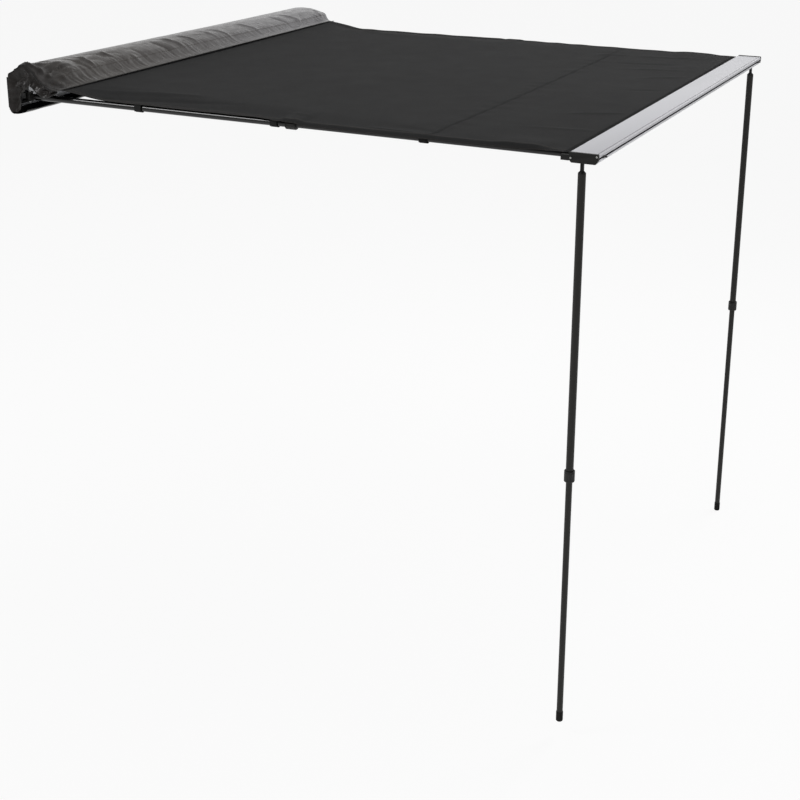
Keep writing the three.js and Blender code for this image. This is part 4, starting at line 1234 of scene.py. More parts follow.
@dataclass
class TravelBag:
    """The unzipped travel bag: a sagging top flap, two crumpled ends and a short lower strip."""

    shop: Workshop
    rows: RowMaker
    end: float = 1.003
    reach: float = 0.225
    rear: float = 0.007
    front_level: float = 0.0232
    rear_level: float = 0.064
    near_crown: float = 0.060
    far_crown: float = 0.024
    fullness: float = 0.75
    thickness: float = 0.0008
    seam_share: float = 0.22
    depth: float = 0.22
    bead_radius: float = 0.0029
    bead_half: float = 0.988
    bead_levels: Pair = (0.0501, -0.0501)
    piping: float = 0.0017
    stitch: Block = Block(0.0064, (0.0042, 0.0009, 0.0006), 0.08)
    tooth: Block = Block(0.0031, (0.0017, 0.0042, 0.0026), 0.03)
    # The shares of the flap at which its front starts to rise and has risen, at the near and the far end.
    rise_start: Pair = (0.06, 0.13)
    rise_end: Pair = (0.26, 0.23)
    toe: float = 0.35
    # How far the near end sags, from which x, and the share up to which it does.
    sink: float = 0.043
    sink_x: float = -0.86
    sink_share: float = 0.64
    # How far the far end's front hangs and from which x.
    droop: float = 0.008
    droop_x: float = 0.95
    # How high the crushed ridges, the wide swells, the hem's puckers, the seam's lap and the rolled ends are.
    ridges: float = 0.0038
    swells: float = 0.0046
    puckers: float = 0.0032
    lap: float = 0.0005
    rolled: float = 0.0035
    # Where along the flap the cloth is bunched, and how narrow its folds are.
    bunched: tuple[float, ...] = (-0.94, -0.68, -0.20, 0.06, 0.66, 0.94)
    sharpness: float = 0.62
    # Each fold of the flap: where it starts and ends as (x, share), its height and its width.
    folds: tuple[Fold, ...] = tuple(Fold(*row) for row in (
        ((-0.76, 0.50), (-0.72, 0.20), 0.0075, 0.011), ((-0.81, 0.42), (-0.75, 0.16), -0.0050, 0.012),
        ((-0.90, 0.30), (-0.82, 0.18), 0.0060, 0.010), ((-0.97, 0.62), (-0.88, 0.42), 0.0060, 0.010),
        ((-1.00, 0.72), (-0.955, 0.34), 0.0110, 0.013), ((-0.995, 0.46), (-0.88, 0.29), -0.0100, 0.010),
        ((-0.985, 0.36), (-0.84, 0.33), 0.0090, 0.009), ((-0.965, 0.15), (-0.90, 0.10), 0.0070, 0.010),
        ((-0.93, 0.80), (-0.90, 0.52), -0.0050, 0.011), ((-0.86, 0.66), (-0.80, 0.46), 0.0050, 0.010),
        ((-0.66, 0.72), (-0.58, 0.30), 0.0052, 0.010), ((-0.70, 0.52), (-0.60, 0.36), -0.0045, 0.009),
        ((-0.45, 0.40), (-0.41, 0.05), -0.0030, 0.012), ((-0.30, 0.52), (-0.25, 0.12), -0.0060, 0.017),
        ((-0.23, 0.56), (-0.14, 0.10), 0.0080, 0.009), ((-0.12, 0.62), (-0.05, 0.24), 0.0066, 0.009),
        ((0.02, 0.78), (0.09, 0.30), 0.0056, 0.011), ((0.12, 0.60), (0.19, 0.14), 0.0052, 0.012),
        ((0.33, 0.60), (0.41, 0.14), 0.0056, 0.012), ((0.60, 0.62), (0.66, 0.12), -0.0056, 0.012),
        ((0.69, 0.64), (0.78, 0.05), 0.0068, 0.012), ((0.84, 0.42), (0.74, 0.06), -0.0040, 0.012),
        ((0.98, 0.46), (0.93, 0.08), 0.0055, 0.014),
    ))
    # The lower edge of each end, as (y, z) points from the board to the flap's front corner.
    near_edge: tuple[Pair, ...] = (
        (-0.007, -0.060), (-0.021, -0.067), (-0.044, -0.067), (-0.058, -0.056), (-0.061, -0.036),
        (-0.058, -0.014), (-0.066, 0.004), (-0.080, 0.012), (-0.090, 0.022), (-0.101, 0.033), (-0.112, 0.029),
        (-0.130, 0.014), (-0.150, 0.001), (-0.166, -0.006), (-0.182, -0.004), (-0.206, 0.007),
        (-0.225, 0.017))
    far_edge: tuple[Pair, ...] = (
        (-0.007, -0.060), (-0.024, -0.064), (-0.040, -0.060), (-0.045, -0.037), (-0.070, -0.032),
        (-0.077, -0.012), (-0.086, 0.014), (-0.104, 0.034), (-0.124, 0.030), (-0.152, 0.012), (-0.180, 0.004),
        (-0.204, 0.013), (-0.225, 0.020))
    # The lower strip's section, as (y, z) points from the board to its free edge.
    lower: tuple[Pair, ...] = ((-0.0075, -0.057), (-0.012, -0.068), (-0.022, -0.074), (-0.042, -0.073),
                               (-0.062, -0.069), (-0.078, -0.063), (-0.087, -0.057))

    def crest(self, x: float, share: float) -> Vector:
        """Finds a point of the smooth flap.

        Args:
            x: The place across the flap.
            share: The share of the way from its front edge to the board.

        Returns:
            The point.
        """
        share = min(1.0, max(0.0, share))
        crown = mix(self.near_crown, self.far_crown, (x + 1) / 2)
        boxy = ease(x, 0.2, 0.9)
        flat = ease(share, mix(*self.rise_start, boxy), mix(*self.rise_end, boxy))
        lift = crown * math.sin(math.pi * share) ** self.fullness * mix(mix(self.toe, 0.0, boxy), 1.0, flat)
        sagging = math.sin(math.pi * min(1.0, share / self.sink_share)) ** 1.3
        sunk = self.sink * ease(-x, -self.sink_x, self.end) * sagging
        hung = self.droop * ease(x, self.droop_x, self.end) * (1 - flat)
        level = mix(self.front_level, self.rear_level, share) - hung
        return Vector((x, mix(-self.reach, -self.rear, share), level + lift - sunk))

    def crumple(self, x: float, share: float) -> float:
        """Finds how far the crumpled cloth stands off the smooth flap.

        Args:
            x: The place across the flap.
            share: The share of the way from its front edge to the board.

        Returns:
            The distance.
        """
        y = share * self.depth
        ridges = creases(Vector((x * 3.6 + y * 7, x * 1.3 - y * 10, 1.7))) - 0.25
        swell = noise.noise(Vector((x * 3.1, y * 6, 5.0)))
        tired = 1 + 0.6 * ease(-x, 0.3, 0.8) + 1.6 * ease(-x, 0.8, 1.0) + 0.6 * ease(x, 0.7, 1.0)
        body = max(0.0, min(1.0, share / 0.26, (1 - share) / 0.12))
        busy = 0.35 + 0.75 * max(math.exp(-((x - spot) / 0.11) ** 2) for spot in self.bunched)
        calm = 1 - 0.8 * ease(share, 0.40, 0.60) * (1 - ease(-x, 0.84, 0.94))
        pucker = noise.noise(Vector((x * 46 + y * 30, y * 9, 2.0)))
        hem = ease(0.36 - share, 0.0, 0.2) * ease(share, 0.0, 0.08)
        creased = 0.0
        for fold in self.folds:
            part, distance = fold.seen_from(x, share, self.depth)
            off = distance / (fold.width * self.sharpness)
            creased += fold.lift(part, math.exp(-off), 0.25)
        crushed = (self.ridges * ridges + self.swells * swell) * busy * tired + creased
        return crushed * calm * body + self.puckers * abs(pucker) * hem * tired

    def flap(self, x: float, share: float) -> Vector:
        """Finds a point of the crumpled flap, with its rolled ends and its lapped front seam.

        Args:
            x: The place across the flap.
            share: The share of the way from its front edge to the board.

        Returns:
            The point.
        """
        point = self.crest(x, share)
        slope = self.crest(x, min(1.0, share + 0.01)) - self.crest(x, max(0.0, share - 0.01))
        out = Vector((0.0, -slope.z, slope.y)).normalized()
        at_end = ease(abs(x), self.end - 0.010, self.end)
        rolled = self.rolled * (1 - math.sqrt(max(0.0, 1 - at_end ** 2)))
        lap = self.lap * ease(self.seam_share - share, -0.003, 0.003)
        return point + out * (self.crumple(x, share) + lap - rolled)

    def panel(self, side: Side, edge: Sequence[Vector], share: float, drop: float) -> Vector:
        """Finds a point of an end panel.

        Args:
            side: The end.
            edge: The panel's lower edge, from the board to the flap's front corner.
            share: The share of the way from the board to the front.
            drop: The share of the way down from the flap.

        Returns:
            The point.
        """
        high = self.flap(side.value * self.end, 1 - share)
        low = along(edge, share)
        point = high.lerp(Vector((high.x, low.y, low.z)), drop)
        folds = creases(Vector((point.y * 15 + point.z * 6, point.z * 15 - point.y * 5, 3.4 * side.value)))
        clear = ease(-point.y, 0.024, 0.045)
        hollow = 0.0110 * math.sin(math.pi * min(1.0, drop)) * (1 - folds) * clear
        bulge = (0.0030 * folds - hollow) * ease(drop, 0.0, 0.2)
        return point + Vector((side.value * bulge, 0.0, 0.0))

    def strip(self, x: float, share: float) -> Vector:
        """Finds a point of the short lower strip, which waves a little along its free edge.

        Args:
            x: The place across.
            share: The share of the way from the board to the free edge.

        Returns:
            The point.
        """
        point = along([Vector((0.0, y, z)) for y, z in self.lower], share)
        wave = 0.0016 * noise.noise(Vector((x * 9, share * 3, 8.0))) * share
        return Vector((x, point.y + wave, point.z - abs(wave) - 0.002 * share * math.cos(x * 1.5) ** 2))

    def welt(self, side: Side) -> bpy.types.Object:
        """Makes the piping over the seam of one end with the flap.

        Args:
            side: The end.

        Returns:
            The piping.
        """
        offset = Vector((side.value * 0.0006, 0.0, 0.0006))
        path = [self.flap(side.value * self.end, share) + offset for share in spaced(0.01, 0.99, 60)]
        return wire(f"travel_bag_piping_{side.word}", path, self.piping)

    def fitted(self, obj: bpy.types.Object, finish: Finish, *replaced: str) -> bpy.types.Object:
        """Fits a piece of the bag, which stays with the board."""
        return self.shop.fit(obj, finish, *replaced, body="backboard_group")

    def dress(self, sheet: bpy.types.Object, outside: Finish, *replaced: str) -> None:
        """Gives an open sheet its outside, its lining and its thickness, and fits it.

        Args:
            sheet: The sheet.
            outside: The finish of its outer side.
            replaced: The CAD nodes that it stands for.
        """
        palette = self.shop.palette
        for skin in (outside, palette.lining):
            sheet.data.materials.append(palette.of(skin))
        self.fitted(shaded(thickened(sheet, self.thickness, lined=True), 60), palette.vinyl, *replaced)

    def build(self) -> None:
        """Builds the flap, the ends, the strip, the piping, the stitches and the zip's teeth."""
        palette = self.shop.palette
        shares = spaced(0.0, 1.0, 46, self.seam_share - 0.003, self.seam_share + 0.003, 0.015)
        roll = [sign * (self.end - step) for sign in (-1, 1) for step in (0.002, 0.005, 0.008)]
        flap = grid("travel_bag_flap", spaced(-self.end, self.end, 560, *roll), shares, self.flap)
        closures = spaced(-0.995, 0.995, 300)
        teeth = [[self.flap(x, 0.0) + Vector((0.0, -0.0016, 0.0004)) for x in closures]]
        ends, piping = [], []
        for side, corners in ((Side.NEAR, self.near_edge), (Side.FAR, self.far_edge)):
            edge = [Vector((side.value * self.end, y, z)) for y, z in corners]
            place = partial(self.panel, side, edge)
            ends.append(grid(f"travel_bag_end_{side.word}", spaced(0.0, 1.0, 96), spaced(0.0, 1.0, 34), place,
                             flip=side is Side.NEAR))
            teeth.append([place(share, 1.0) for share in spaced(0.22, 0.98, 90)])
            piping.append(self.welt(side))
        strip = grid("travel_bag_strip", spaced(-self.end, self.end, 260), spaced(0.0, 1.0, 18), self.strip)
        teeth.append([self.strip(x, 1.0) + Vector((0.0, -0.0014, 0.0006)) for x in closures])
        self.dress(flap, palette.vinyl, "travel_bag")
        # The near end panel gets the vinyl with painted shade.
        self.dress(ends[0], palette.end_vinyl)
        self.dress(ends[1], palette.vinyl)
        self.dress(strip, palette.vinyl)
        welts = self.fitted(shaded(joined("travel_bag_piping", piping)), palette.lining)
        lift = Vector((0.0, -0.0003, 0.0007))
        seam = [self.flap(x, self.seam_share - 0.022) + lift for x in spaced(-0.985, 0.985, 300)]
        stitches = self.rows.lay("travel_bag_stitches", [seam], self.stitch, palette.thread)
        self.fitted(stitches, palette.thread)
        zipped = self.rows.lay("travel_bag_zip_teeth", teeth, self.tooth, palette.zip_tooth)
        self.fitted(zipped, palette.zip_tooth)
        beads = [rod(f"bag_bead_{i}", self.bead_radius, self.bead_half, Vector((0.0, -self.rear, z)))
                 for i, z in enumerate(self.bead_levels)]
        held = self.fitted(shaded(joined("travel_bag_beads", beads)), palette.bead)


@dataclass
class FrontRail:
    """The front rail extrusion, its moulded caps, their screws and the guy loops."""

    shop: Workshop
    middle: float = -2.170
    half_depth: float = 0.046
    height: float = 0.030
    wall: float = 0.010
    plate: float = 0.002
    end: float = 0.9897
    track_drop: float = 0.0051
    groove_drop: float = 0.014
    turn_in: float = 0.0186
    set_back: float = 0.0085
    rebate: float = -0.0286
    proud: float = 0.0014
    loop_x: float = 0.948
    loop_radius: float = 0.007
    # How far the front groove's lip and its back lie behind the face, and how deep the fine lines are.
    lip: float = 0.0018
    groove_back: float = 0.0064
    line: float = 0.0006
    # The rear track's radius, how far inside the rear face its centre lies, and half its mouth's width.
    track_radius: float = 0.0034
    track_set: float = 0.0049
    track_mouth: float = 0.0012
    nose: float = 0.004
    step: float = 0.0007

    def outline(self) -> list[Pair]:
        """Draws the extrusion's section.

        Returns:
            Its (y, z) points, round from the front lower corner.
        """
        half, low = self.half_depth, -self.height
        bay, track, groove = half - self.wall, self.track_drop, self.groove_drop
        radius, nose, lip, back, line = self.track_radius, self.nose, self.lip, self.groove_back, self.line
        mouth = math.asin(self.track_mouth / radius)
        arc = [(half - self.track_set + radius * math.cos(a), -track + radius * math.sin(a))
               for a in (-mouth - (math.tau - 2 * mouth) * i / 20 for i in range(21))]
        rounded = [(-half + nose - nose * math.sin(a), -nose + nose * math.cos(a))
                   for a in (math.pi / 2 * i / 8 for i in range(9))]
        rib = -self.plate - 0.0014
        under = -half + self.set_back * 0.88
        points = [
            (-half + self.set_back + self.step, low), (-bay, low), (-bay, -self.plate),
            (-0.0134, -self.plate), (-0.012, rib), (-0.0106, -self.plate),
            (0.0106, -self.plate), (0.012, rib), (0.0134, -self.plate),
            (bay, -self.plate), (bay, low), (half, low),
            (half, -track - 0.0050), (half - line, -track - 0.0046), (half - line, -track - self.track_mouth),
            *arc, (half - line, -track + self.track_mouth), (half - line, -0.0026),
            (half, -0.0020), (half, 0.0),
            (half - 0.0016, 0.0), (half - 0.0020, -line), (half - 0.0034, -line), (half - 0.0038, 0.0),
            (-half + 0.0074, 0.0), (-half + 0.0069, -line), (-half + 0.0061, -line), (-half + 0.0056, 0.0),
            *rounded, (-half, -groove + 0.0036), (-half + lip, -groove + 0.0036),
            (-half + lip, -groove + 0.0046), (-half + back, -groove + 0.0046),
            (-half + back, -groove - 0.0035), (-half + lip, -groove - 0.0035),
            (-half + lip, -groove - 0.0019), (-half, -groove - 0.0019), (-half, -self.turn_in),
            (under, self.rebate), (under + self.step, self.rebate)]
        return [(y + self.middle, z) for y, z in points]

    def guy_loop(self, side: Side) -> bpy.types.Object:
        """Makes a guy loop: a bent wire bow on a plate whose foot sits in the front groove.

        Args:
            side: The rail's end.

        Returns:
            The loop.
        """
        x, face, z = side.value * self.loop_x, self.middle - self.half_depth, -self.groove_drop
        root, r, step = face - 0.00265, self.loop_radius, Vector((0.0, 0.0012, 0.0))
        bow = [Vector((x + r * math.cos(a), root - r * math.sin(a), z)) for a in
               (math.pi * i / 18 for i in range(19))]
        bow = [bow[0] + step, *bow, bow[-1] + step]

        def block(name: str, front: float, back: float, rise: float, reach: float) -> bpy.types.Object:
            """Makes a block.

            Args:
                name: The block's name.
                front: How far behind the rail's face it starts.
                back: How far behind the face it ends.
                rise: Half its height.
                reach: Half its length.

            Returns:
                The block.
            """
            corners = [(face + front, z - rise), (face + back, z - rise),
                       (face + back, z + rise), (face + front, z + rise)]
            return extruded(name, corners, x - reach, x + reach)

        blocks = [block("plate", -0.0019, -0.0003, 0.0035, 0.010),
                  block("stem", -0.0010, 0.0030, 0.0015, 0.0098),
                  block("foot", 0.0021, 0.0060, 0.0031, 0.010)]
        plates = bevelled(joined("plates", blocks), 0.0004)
        return joined(f"guy_loop_{side.word}_wire", [plates, wire("bow", bow, 0.0015, 12)])

    def shadowed(self, y: float, z: float) -> bool:
        """Tells whether a place lies in the front groove, the front fine line or the rebate, whose faces are
        painted with shade.

        Args:
            y: Its distance behind the rail's face.
            z: Its height.

        Returns:
            Whether it does.
        """
        in_groove = 0.0004 < y < 0.0070 and abs(z + self.groove_drop - 0.0006) < 0.0044
        in_line = 0.0056 < y < 0.0074 and -0.0010 < z < -0.0001
        in_rebate = z < self.rebate + 0.0002 and y < self.set_back + 0.0009
        return in_groove or in_line or in_rebate

    def build(self) -> None:
        """Builds the rail and what is fixed to it."""
        palette = self.shop.palette
        rail = bevelled(extruded("front_rail_extrusion", self.outline(), -self.end, self.end), 0.00022)
        rail.data.materials.append(palette.of(palette.anodised))
        rail.data.materials.append(palette.of(palette.groove))
        front = self.middle - self.half_depth
        # The faces in the front groove, the front fine line and the rebate get painted shade: the near-black
        # second material.
        for face in rail.data.polygons:
            if self.shadowed(face.center.y - front, face.center.z):
                face.material_index = 1
        self.shop.fit(shaded(rail, 28), palette.anodised, "front_rail")
        corner = Vector((0.0, front, -self.turn_in))
        slope = Vector((0.0, self.turn_in - self.height, -self.set_back)).normalized()
        for side in Side:
            self.shop.soften(f"rail_cap_{side.word}", palette.plastic, 0.0006, (corner, slope), self.proud)
            self.shop.soften(f"leg_block_{side.word}", palette.plastic, 0.0005)
            self.shop.fit(shaded(self.guy_loop(side)), palette.dark_steel, f"guy_loop_{side.word}")
            for which in ("front", "rear"):
                node = f"rail_cap_screw_{which}_{side.word}"
                fastener(self.shop, node, Axis.X, side.value, head=0.0040, height=0.0026, shank=0.0017)
            fastener(self.shop, f"leg_pivot_pin_{side.word}", Axis.Y, -1, head=0.0050, height=0.0016,
                     shank=0.0030)


def fastener(shop: Workshop, node: str, axis: Axis, way: int, head: float, height: float,
             shank: float) -> bpy.types.Object:
    """Replaces a screw, bolt or pin by one with a crowned head and a hexagonal drive.

    Args:
        shop: The workshop.
        node: The CAD node.
        axis: The axis that it is turned round.
        way: The sign of the axis direction in which its head faces.
        head: The head's radius.
        height: The head's height.
        shank: The shank's radius.

    Returns:
        The piece.
    """
    low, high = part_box(node)
    origin = (low + high) / 2
    half = (high - low)[axis.value] / 2
    drive, sunk = head * 0.46, 0.0014

    def warp(number: int, angle: float) -> float:
        """Makes the drive's two rings hexagonal.

        Args:
            number: The profile point's number.
            angle: The angle round the axis.

        Returns:
            What is added to the radius.
        """
        if number not in (1, 2):
            return 0.0
        step = (angle % (math.pi / 3)) - math.pi / 6
        return drive * (math.cos(math.pi / 6) / math.cos(step) - 1)

    profile = [(0.0, half - sunk), (drive, half - sunk), (drive, half), (head * 0.72, half),
               (head * 0.93, half - height * 0.22), (head, half - height * 0.55), (head, half - height),
               (shank, half - height), (shank, -half + 0.0006), (shank - 0.0006, -half), (0.0, -half)]
    made = turned(f"{node}_turned", [(r, way * p) for r, p in profile], axis, origin, 36, warp)
    return shop.fit(shaded(made, 30), shop.palette.steel, node)


def tube(shop: Workshop, node: str, axis: Axis, wall: float, finish: Finish) -> bpy.types.Object:
    """Replaces a faceted tube by a smooth one with broken edges.

    Args:
        shop: The workshop.
        node: The CAD node.
        axis: The axis along the tube.
        wall: The wall's thickness.
        finish: The tube's finish.

    Returns:
        The piece.
    """
    low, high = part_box(node)
    origin, size = (low + high) / 2, high - low
    outer, half = size[(axis.value + 1) % 3] / 2, size[axis.value] / 2
    inner, edge = outer - wall, 0.0003
    profile = [(inner, -half), (outer - edge, -half), (outer, edge - half), (outer, half - edge),
               (outer - edge, half), (inner, half), (inner, -half)]
    made = turned(f"{node}_drawn", profile, axis, origin, 56)
    return shop.fit(shaded(made, 30), finish, node)


@dataclass
class TwistLock:
    """A ferrule and the fluted collar that turns on it, with the radii of the tubes that they join."""

    shop: Workshop
    axis: Axis
    radius: float
    outer: float
    inner: float
    half: float = 0.0195
    lobes: int = 12
    flute: float = 0.0012
    seat: float = 0.005
    clearance: float = 0.0003

    def collar(self, node: str) -> None:
        """Replaces a lock collar by one with scooped flutes and a ring groove.

        Args:
            node: The CAD node.
        """
        low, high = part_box(node)
        r, h = self.radius, self.half
        sleeve, bore = self.outer + 0.0024, self.inner + self.clearance
        profile = [(bore, -h), (r - 0.0034, -h), (r - 0.0014, -h + 0.0010), (r, -h + 0.0034),
                   (r, -h + 0.0046), (r, -h + 0.0080), (r, 0.0), (r, h - 0.0110), (r, h - 0.0080),
                   (r, h - 0.0062), (r - 0.0009, h - 0.0056), (r - 0.0009, h - 0.0044), (r, h - 0.0038),
                   (r, h - 0.0012), (r - 0.0012, h), (sleeve, h), (sleeve, -self.seat),
                   (bore, -self.seat - 0.0113), (bore, -h)]
        depth = {4: 0.15, 5: 1.0, 6: 1.0, 7: 1.0, 8: 0.15}

        def warp(number: int, angle: float) -> float:
            """Scoops the flutes out of the collar's middle."""
            return -self.flute * depth.get(number, 0.0) * (0.5 + 0.5 * math.cos(self.lobes * angle)) ** 1.4

        made = turned(f"{node}_fluted", profile, self.axis, (low + high) / 2, self.lobes * 10, warp)
        self.shop.fit(shaded(made, 40), self.shop.palette.ribbed, node)

    def ferrule(self, node: str) -> None:
        """Replaces a ferrule by a smooth one; its slit fingers are hidden in the collar.

        Args:
            node: The CAD node.
        """
        low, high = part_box(node)
        origin = (low + high) / 2
        half = (high - low)[self.axis.value] / 2
        inside, finger = self.outer + self.clearance, self.inner + self.clearance
        outside = self.outer + 0.0021
        top, seat = half, half - 0.024
        profile = [(inside, top), (outside - 0.0005, top), (outside, top - 0.0006), (outside, seat),
                   (self.outer, -half), (finger, -half), (finger, seat - 0.0003),
                   (inside, seat - 0.0003), (inside, top)]
        made = turned(f"{node}_turned", profile, self.axis, origin, 48)
        self.shop.fit(shaded(made, 30), self.shop.palette.plastic, node)


@dataclass
class SideArm:
    """One telescopic arm and the bracket that it swings on."""

    shop: Workshop
    side: Side
    outer: float = 0.011
    inner: float = 0.0095
    wall: float = 0.0011
    collar: float = 0.017

    def build(self) -> None:
        """Builds the arm from the bracket to its hook tip."""
        shop, word, palette = self.shop, self.side.word, self.shop.palette
        shop.soften(f"arm_bracket_{word}", palette.bracket, 0.0008)
        shop.soften(f"arm_knuckle_{word}", palette.plastic, 0.0008)
        shop.soften(f"arm_tip_{word}", palette.plastic, 0.0006)
        tube(shop, f"arm_outer_tube_{word}", Axis.Y, self.wall, palette.arm_tube)
        tube(shop, f"arm_inner_tube_{word}", Axis.Y, self.wall, palette.arm_inner)
        lock = TwistLock(shop, Axis.Y, self.collar, self.outer, self.inner)
        lock.collar(f"arm_lock_collar_{word}")
        lock.ferrule(f"arm_ferrule_{word}")
        fastener(shop, f"arm_bracket_bolt_{word}", Axis.Y, -1, head=0.0055, height=0.0036, shank=0.0030)
        shop.coat(f"arm_pivot_rivet_{word}", palette.steel)
        shop.coat(f"arm_bush_{word}", palette.plastic)


@dataclass
class Leg:
    """One telescopic leg, from its neck to its rubber foot."""

    shop: Workshop
    side: Side
    outer: float = 0.0125
    inner: float = 0.0105
    wall: float = 0.0012
    collar: float = 0.0175
    foot_radius: float = 0.0119
    foot_bore: float = 0.0108
    sole: float = 0.007

    def foot(self) -> None:
        """Replaces the foot by one with a rounded sole, a dimple under it and three grip grooves."""
        node = f"leg_foot_{self.side.word}"
        low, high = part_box(node)
        top, r = high.z - low.z, self.foot_radius
        profile = [(0.0, 0.0012), (0.0030, 0.0012), (0.0036, 0.0), (r * 0.66, 0.0), (r * 0.86, 0.0010),
                   (r * 0.96, 0.0026), (r, 0.0050)]
        for groove in (0.014, 0.021, 0.028):
            profile += [(r, groove - 0.0011), (r - 0.0008, groove - 0.0004), (r - 0.0008, groove + 0.0004),
                        (r, groove + 0.0011)]
        profile += [(r, top - 0.0008), (r - 0.0006, top), (self.foot_bore, top), (self.foot_bore, self.sole),
                    (0.0, self.sole)]
        origin = Vector(((low.x + high.x) / 2, (low.y + high.y) / 2, low.z))
        made = turned(f"{node}_moulded", profile, Axis.Z, origin, 48)
        self.shop.fit(shaded(made, 40), self.shop.palette.rubber, node)

    def build(self) -> None:
        """Builds the leg from its neck down to its foot."""
        shop, word, palette = self.shop, self.side.word, self.shop.palette
        shop.soften(f"leg_neck_{word}", palette.plastic, 0.0006)
        tube(shop, f"leg_upper_tube_{word}", Axis.Z, self.wall, palette.leg_tube)
        tube(shop, f"leg_lower_tube_{word}", Axis.Z, self.wall, palette.leg_tube)
        lock = TwistLock(shop, Axis.Z, self.collar, self.outer, self.inner)
        lock.collar(f"leg_lock_collar_{word}")
        lock.ferrule(f"leg_ferrule_{word}")
        shop.coat(f"leg_bush_{word}", palette.plastic)
        self.foot()


@dataclass
class Backboard:
    """The long board that bolts to the vehicle's rack."""

    shop: Workshop

    def build(self) -> None:
        """Coats the extrusion and rounds its end caps."""
        self.shop.coat("backboard", self.shop.palette.board)
        for side in Side:
            self.shop.soften(f"backboard_cap_{side.word}", self.shop.palette.plastic, 0.0008)


@dataclass(frozen=True)
class Lamp:
    """A soft rectangular lamp; only a mirrored one shows in gloss."""

    name: str
    place: Triple
    target: Triple
    length: float
    width: float
    power: float
    mirrored: bool = False


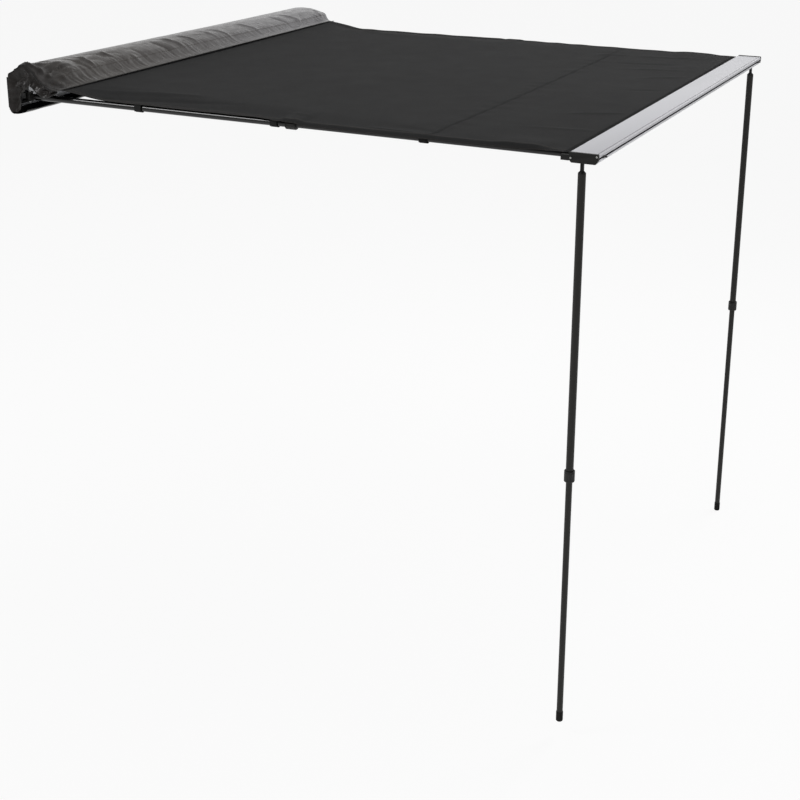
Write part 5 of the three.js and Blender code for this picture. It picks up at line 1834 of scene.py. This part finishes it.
@dataclass
class Studio:
    """The camera, the pale floor, the soft lamps and the white surroundings."""

    eye: Vector = field(default_factory=lambda: Vector((-5.09659, -3.60005, 0.98677)))
    heading: float = 0.46151
    pitch: float = -0.32602
    roll: float = -0.00138
    lens: float = 66.934
    lift: float = -0.12
    ground: float = -2.036
    span: float = 60.0
    lamps: tuple[Lamp, ...] = (
        Lamp("overhead", (0.6, -1.5, 3.2), (0.3, -1.5, 0.0), 2.8, 2.8, 30.0),
        Lamp("far_window", (2.7, -3.3, 1.9), (0.4, -1.8, 0.0), 2.0, 2.0, 92.0),
        Lamp("left_wall", (-4.5, 2.7, 3.9), (-0.9, 2.7, 0.0), 2.9, 2.0, 160.0, mirrored=True),
        Lamp("near_fill", (-4.0, -5.2, 1.2), (-0.2, -2.0, -0.9), 2.0, 2.0, 26.0),
    )
    # Where gloss starts to see the backdrop and sees it in full, and the heights over which it sees less.
    backdrop: Pair = (-0.35, 0.3)
    overhead: Pair = (0.30, 0.75)
    dimmed: float = 0.6
    # The surroundings' strength as a light, and what is added where the camera sees them.
    glow: float = 0.36
    seen: float = 0.64
    # How white the floor looks to the camera, and what share of that it has in gloss.
    floor_white: float = 0.9
    floor_gloss: float = 0.4

    def camera(self) -> None:
        """Sets the camera to the photograph's viewpoint."""
        data = bpy.data.cameras.new("camera")
        data.lens, data.sensor_width, data.shift_y = self.lens, 36.0, self.lift
        data.clip_start, data.clip_end = 0.05, 200.0
        made = bpy.data.objects.new("camera", data)
        bpy.context.scene.collection.objects.link(made)
        made.location = self.eye
        made.rotation_euler = (math.pi / 2 + self.pitch, self.roll, self.heading - math.pi / 2)
        bpy.context.scene.camera = made

    def lights(self) -> None:
        """Adds the soft lamps."""
        for lamp in self.lamps:
            data = bpy.data.lights.new(lamp.name, "AREA")
            data.shape, data.energy = "RECTANGLE", lamp.power
            data.size, data.size_y = lamp.length, lamp.width
            made = bpy.data.objects.new(lamp.name, data)
            bpy.context.scene.collection.objects.link(made)
            made.visible_glossy = lamp.mirrored
            made.location = lamp.place
            way = Vector(lamp.target) - Vector(lamp.place)
            made.rotation_euler = way.to_track_quat("-Z", "Y").to_euler()

    def white(self, graph: Graph, glossy: Number | float) -> Number:
        """Gives 1 to rays that see the backdrop straight or through glass, and a share to those in gloss.

        Args:
            graph: The node tree.
            glossy: The share in gloss.

        Returns:
            That number.
        """
        rays = graph.node("ShaderNodeLightPath").outputs
        straight, gloss, glass = (Number(graph, rays[name]) for name in
                                  ("Is Camera Ray", "Is Glossy Ray", "Is Transmission Ray"))
        return straight + gloss * glossy + glass

    def surroundings(self) -> None:
        """Makes the world white to look at, softer as a light and dimmer above and behind the camera."""
        world = bpy.data.worlds.new("studio")
        world.use_nodes = True
        bpy.context.scene.world = world
        graph = Graph(world.node_tree)
        right, ahead, height = graph.parts(graph.node("ShaderNodeTexCoord").outputs["Generated"])
        ahead_of_lens = right * math.cos(self.heading) + ahead * math.sin(self.heading)
        glossy = ahead_of_lens.eased(*self.backdrop) * (1.0 - height.eased(*self.overhead) * self.dimmed)
        strength = self.white(graph, glossy) * self.seen + self.glow
        sky = graph.node("ShaderNodeBackground", {}, {"Color": (1.0, 1.0, 1.0, 1.0), "Strength": strength})
        graph.node("ShaderNodeOutputWorld", {}, {"Surface": sky.outputs[0]})

    def floor(self) -> None:
        """Lays a wide pale floor that keeps the awning's shadow."""
        far = self.span
        corners = [(x, y, self.ground) for x, y in ((-far, -far), (far, -far), (far, far), (-far, far))]
        made = mesh_object("studio_floor", corners, [(0, 1, 2, 3)])
        material = bpy.data.materials.new("pale_floor")
        material.use_nodes = True
        graph = Graph(material.node_tree)
        tint = graph.blend((0.90, 0.90, 0.90), (0.93, 0.93, 0.93), graph.noise(graph.place(), 0.8))
        matt = graph.node("ShaderNodeBsdfDiffuse", {}, {"Color": tint})
        glow = graph.node("ShaderNodeEmission", {}, {"Color": (1.0, 1.0, 1.0, 1.0), "Strength": 1.0})
        white = self.white(graph, self.floor_gloss) * self.floor_white
        both = graph.node("ShaderNodeMixShader", {}, {0: white, 1: matt.outputs[0], 2: glow.outputs[0]})
        graph.node("ShaderNodeOutputMaterial", {}, {"Surface": both.outputs[0]})
        made.data.materials.append(material)

    def build(self) -> None:
        """Sets up the whole studio."""
        self.camera()
        self.lights()
        self.surroundings()
        self.floor()
        bpy.context.scene.view_settings.view_transform = "Standard"


def main() -> None:
    """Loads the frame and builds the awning's sub-assemblies in order."""
    logging.basicConfig(level=logging.INFO, format="%(message)s")
    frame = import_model()
    Studio().build()
    palette = Palette()
    shop, rows = Workshop(frame, palette), RowMaker(palette)
    Backboard(shop).build()
    FrontRail(shop).build()
    canopy = Canopy(shop, rows)
    canopy.build()
    Straps(shop, canopy).build()
    TravelBag(shop, rows).build()
    for side in Side:
        SideArm(shop, side).build()
        Leg(shop, side).build()


if __name__ == "__main__":
    main()
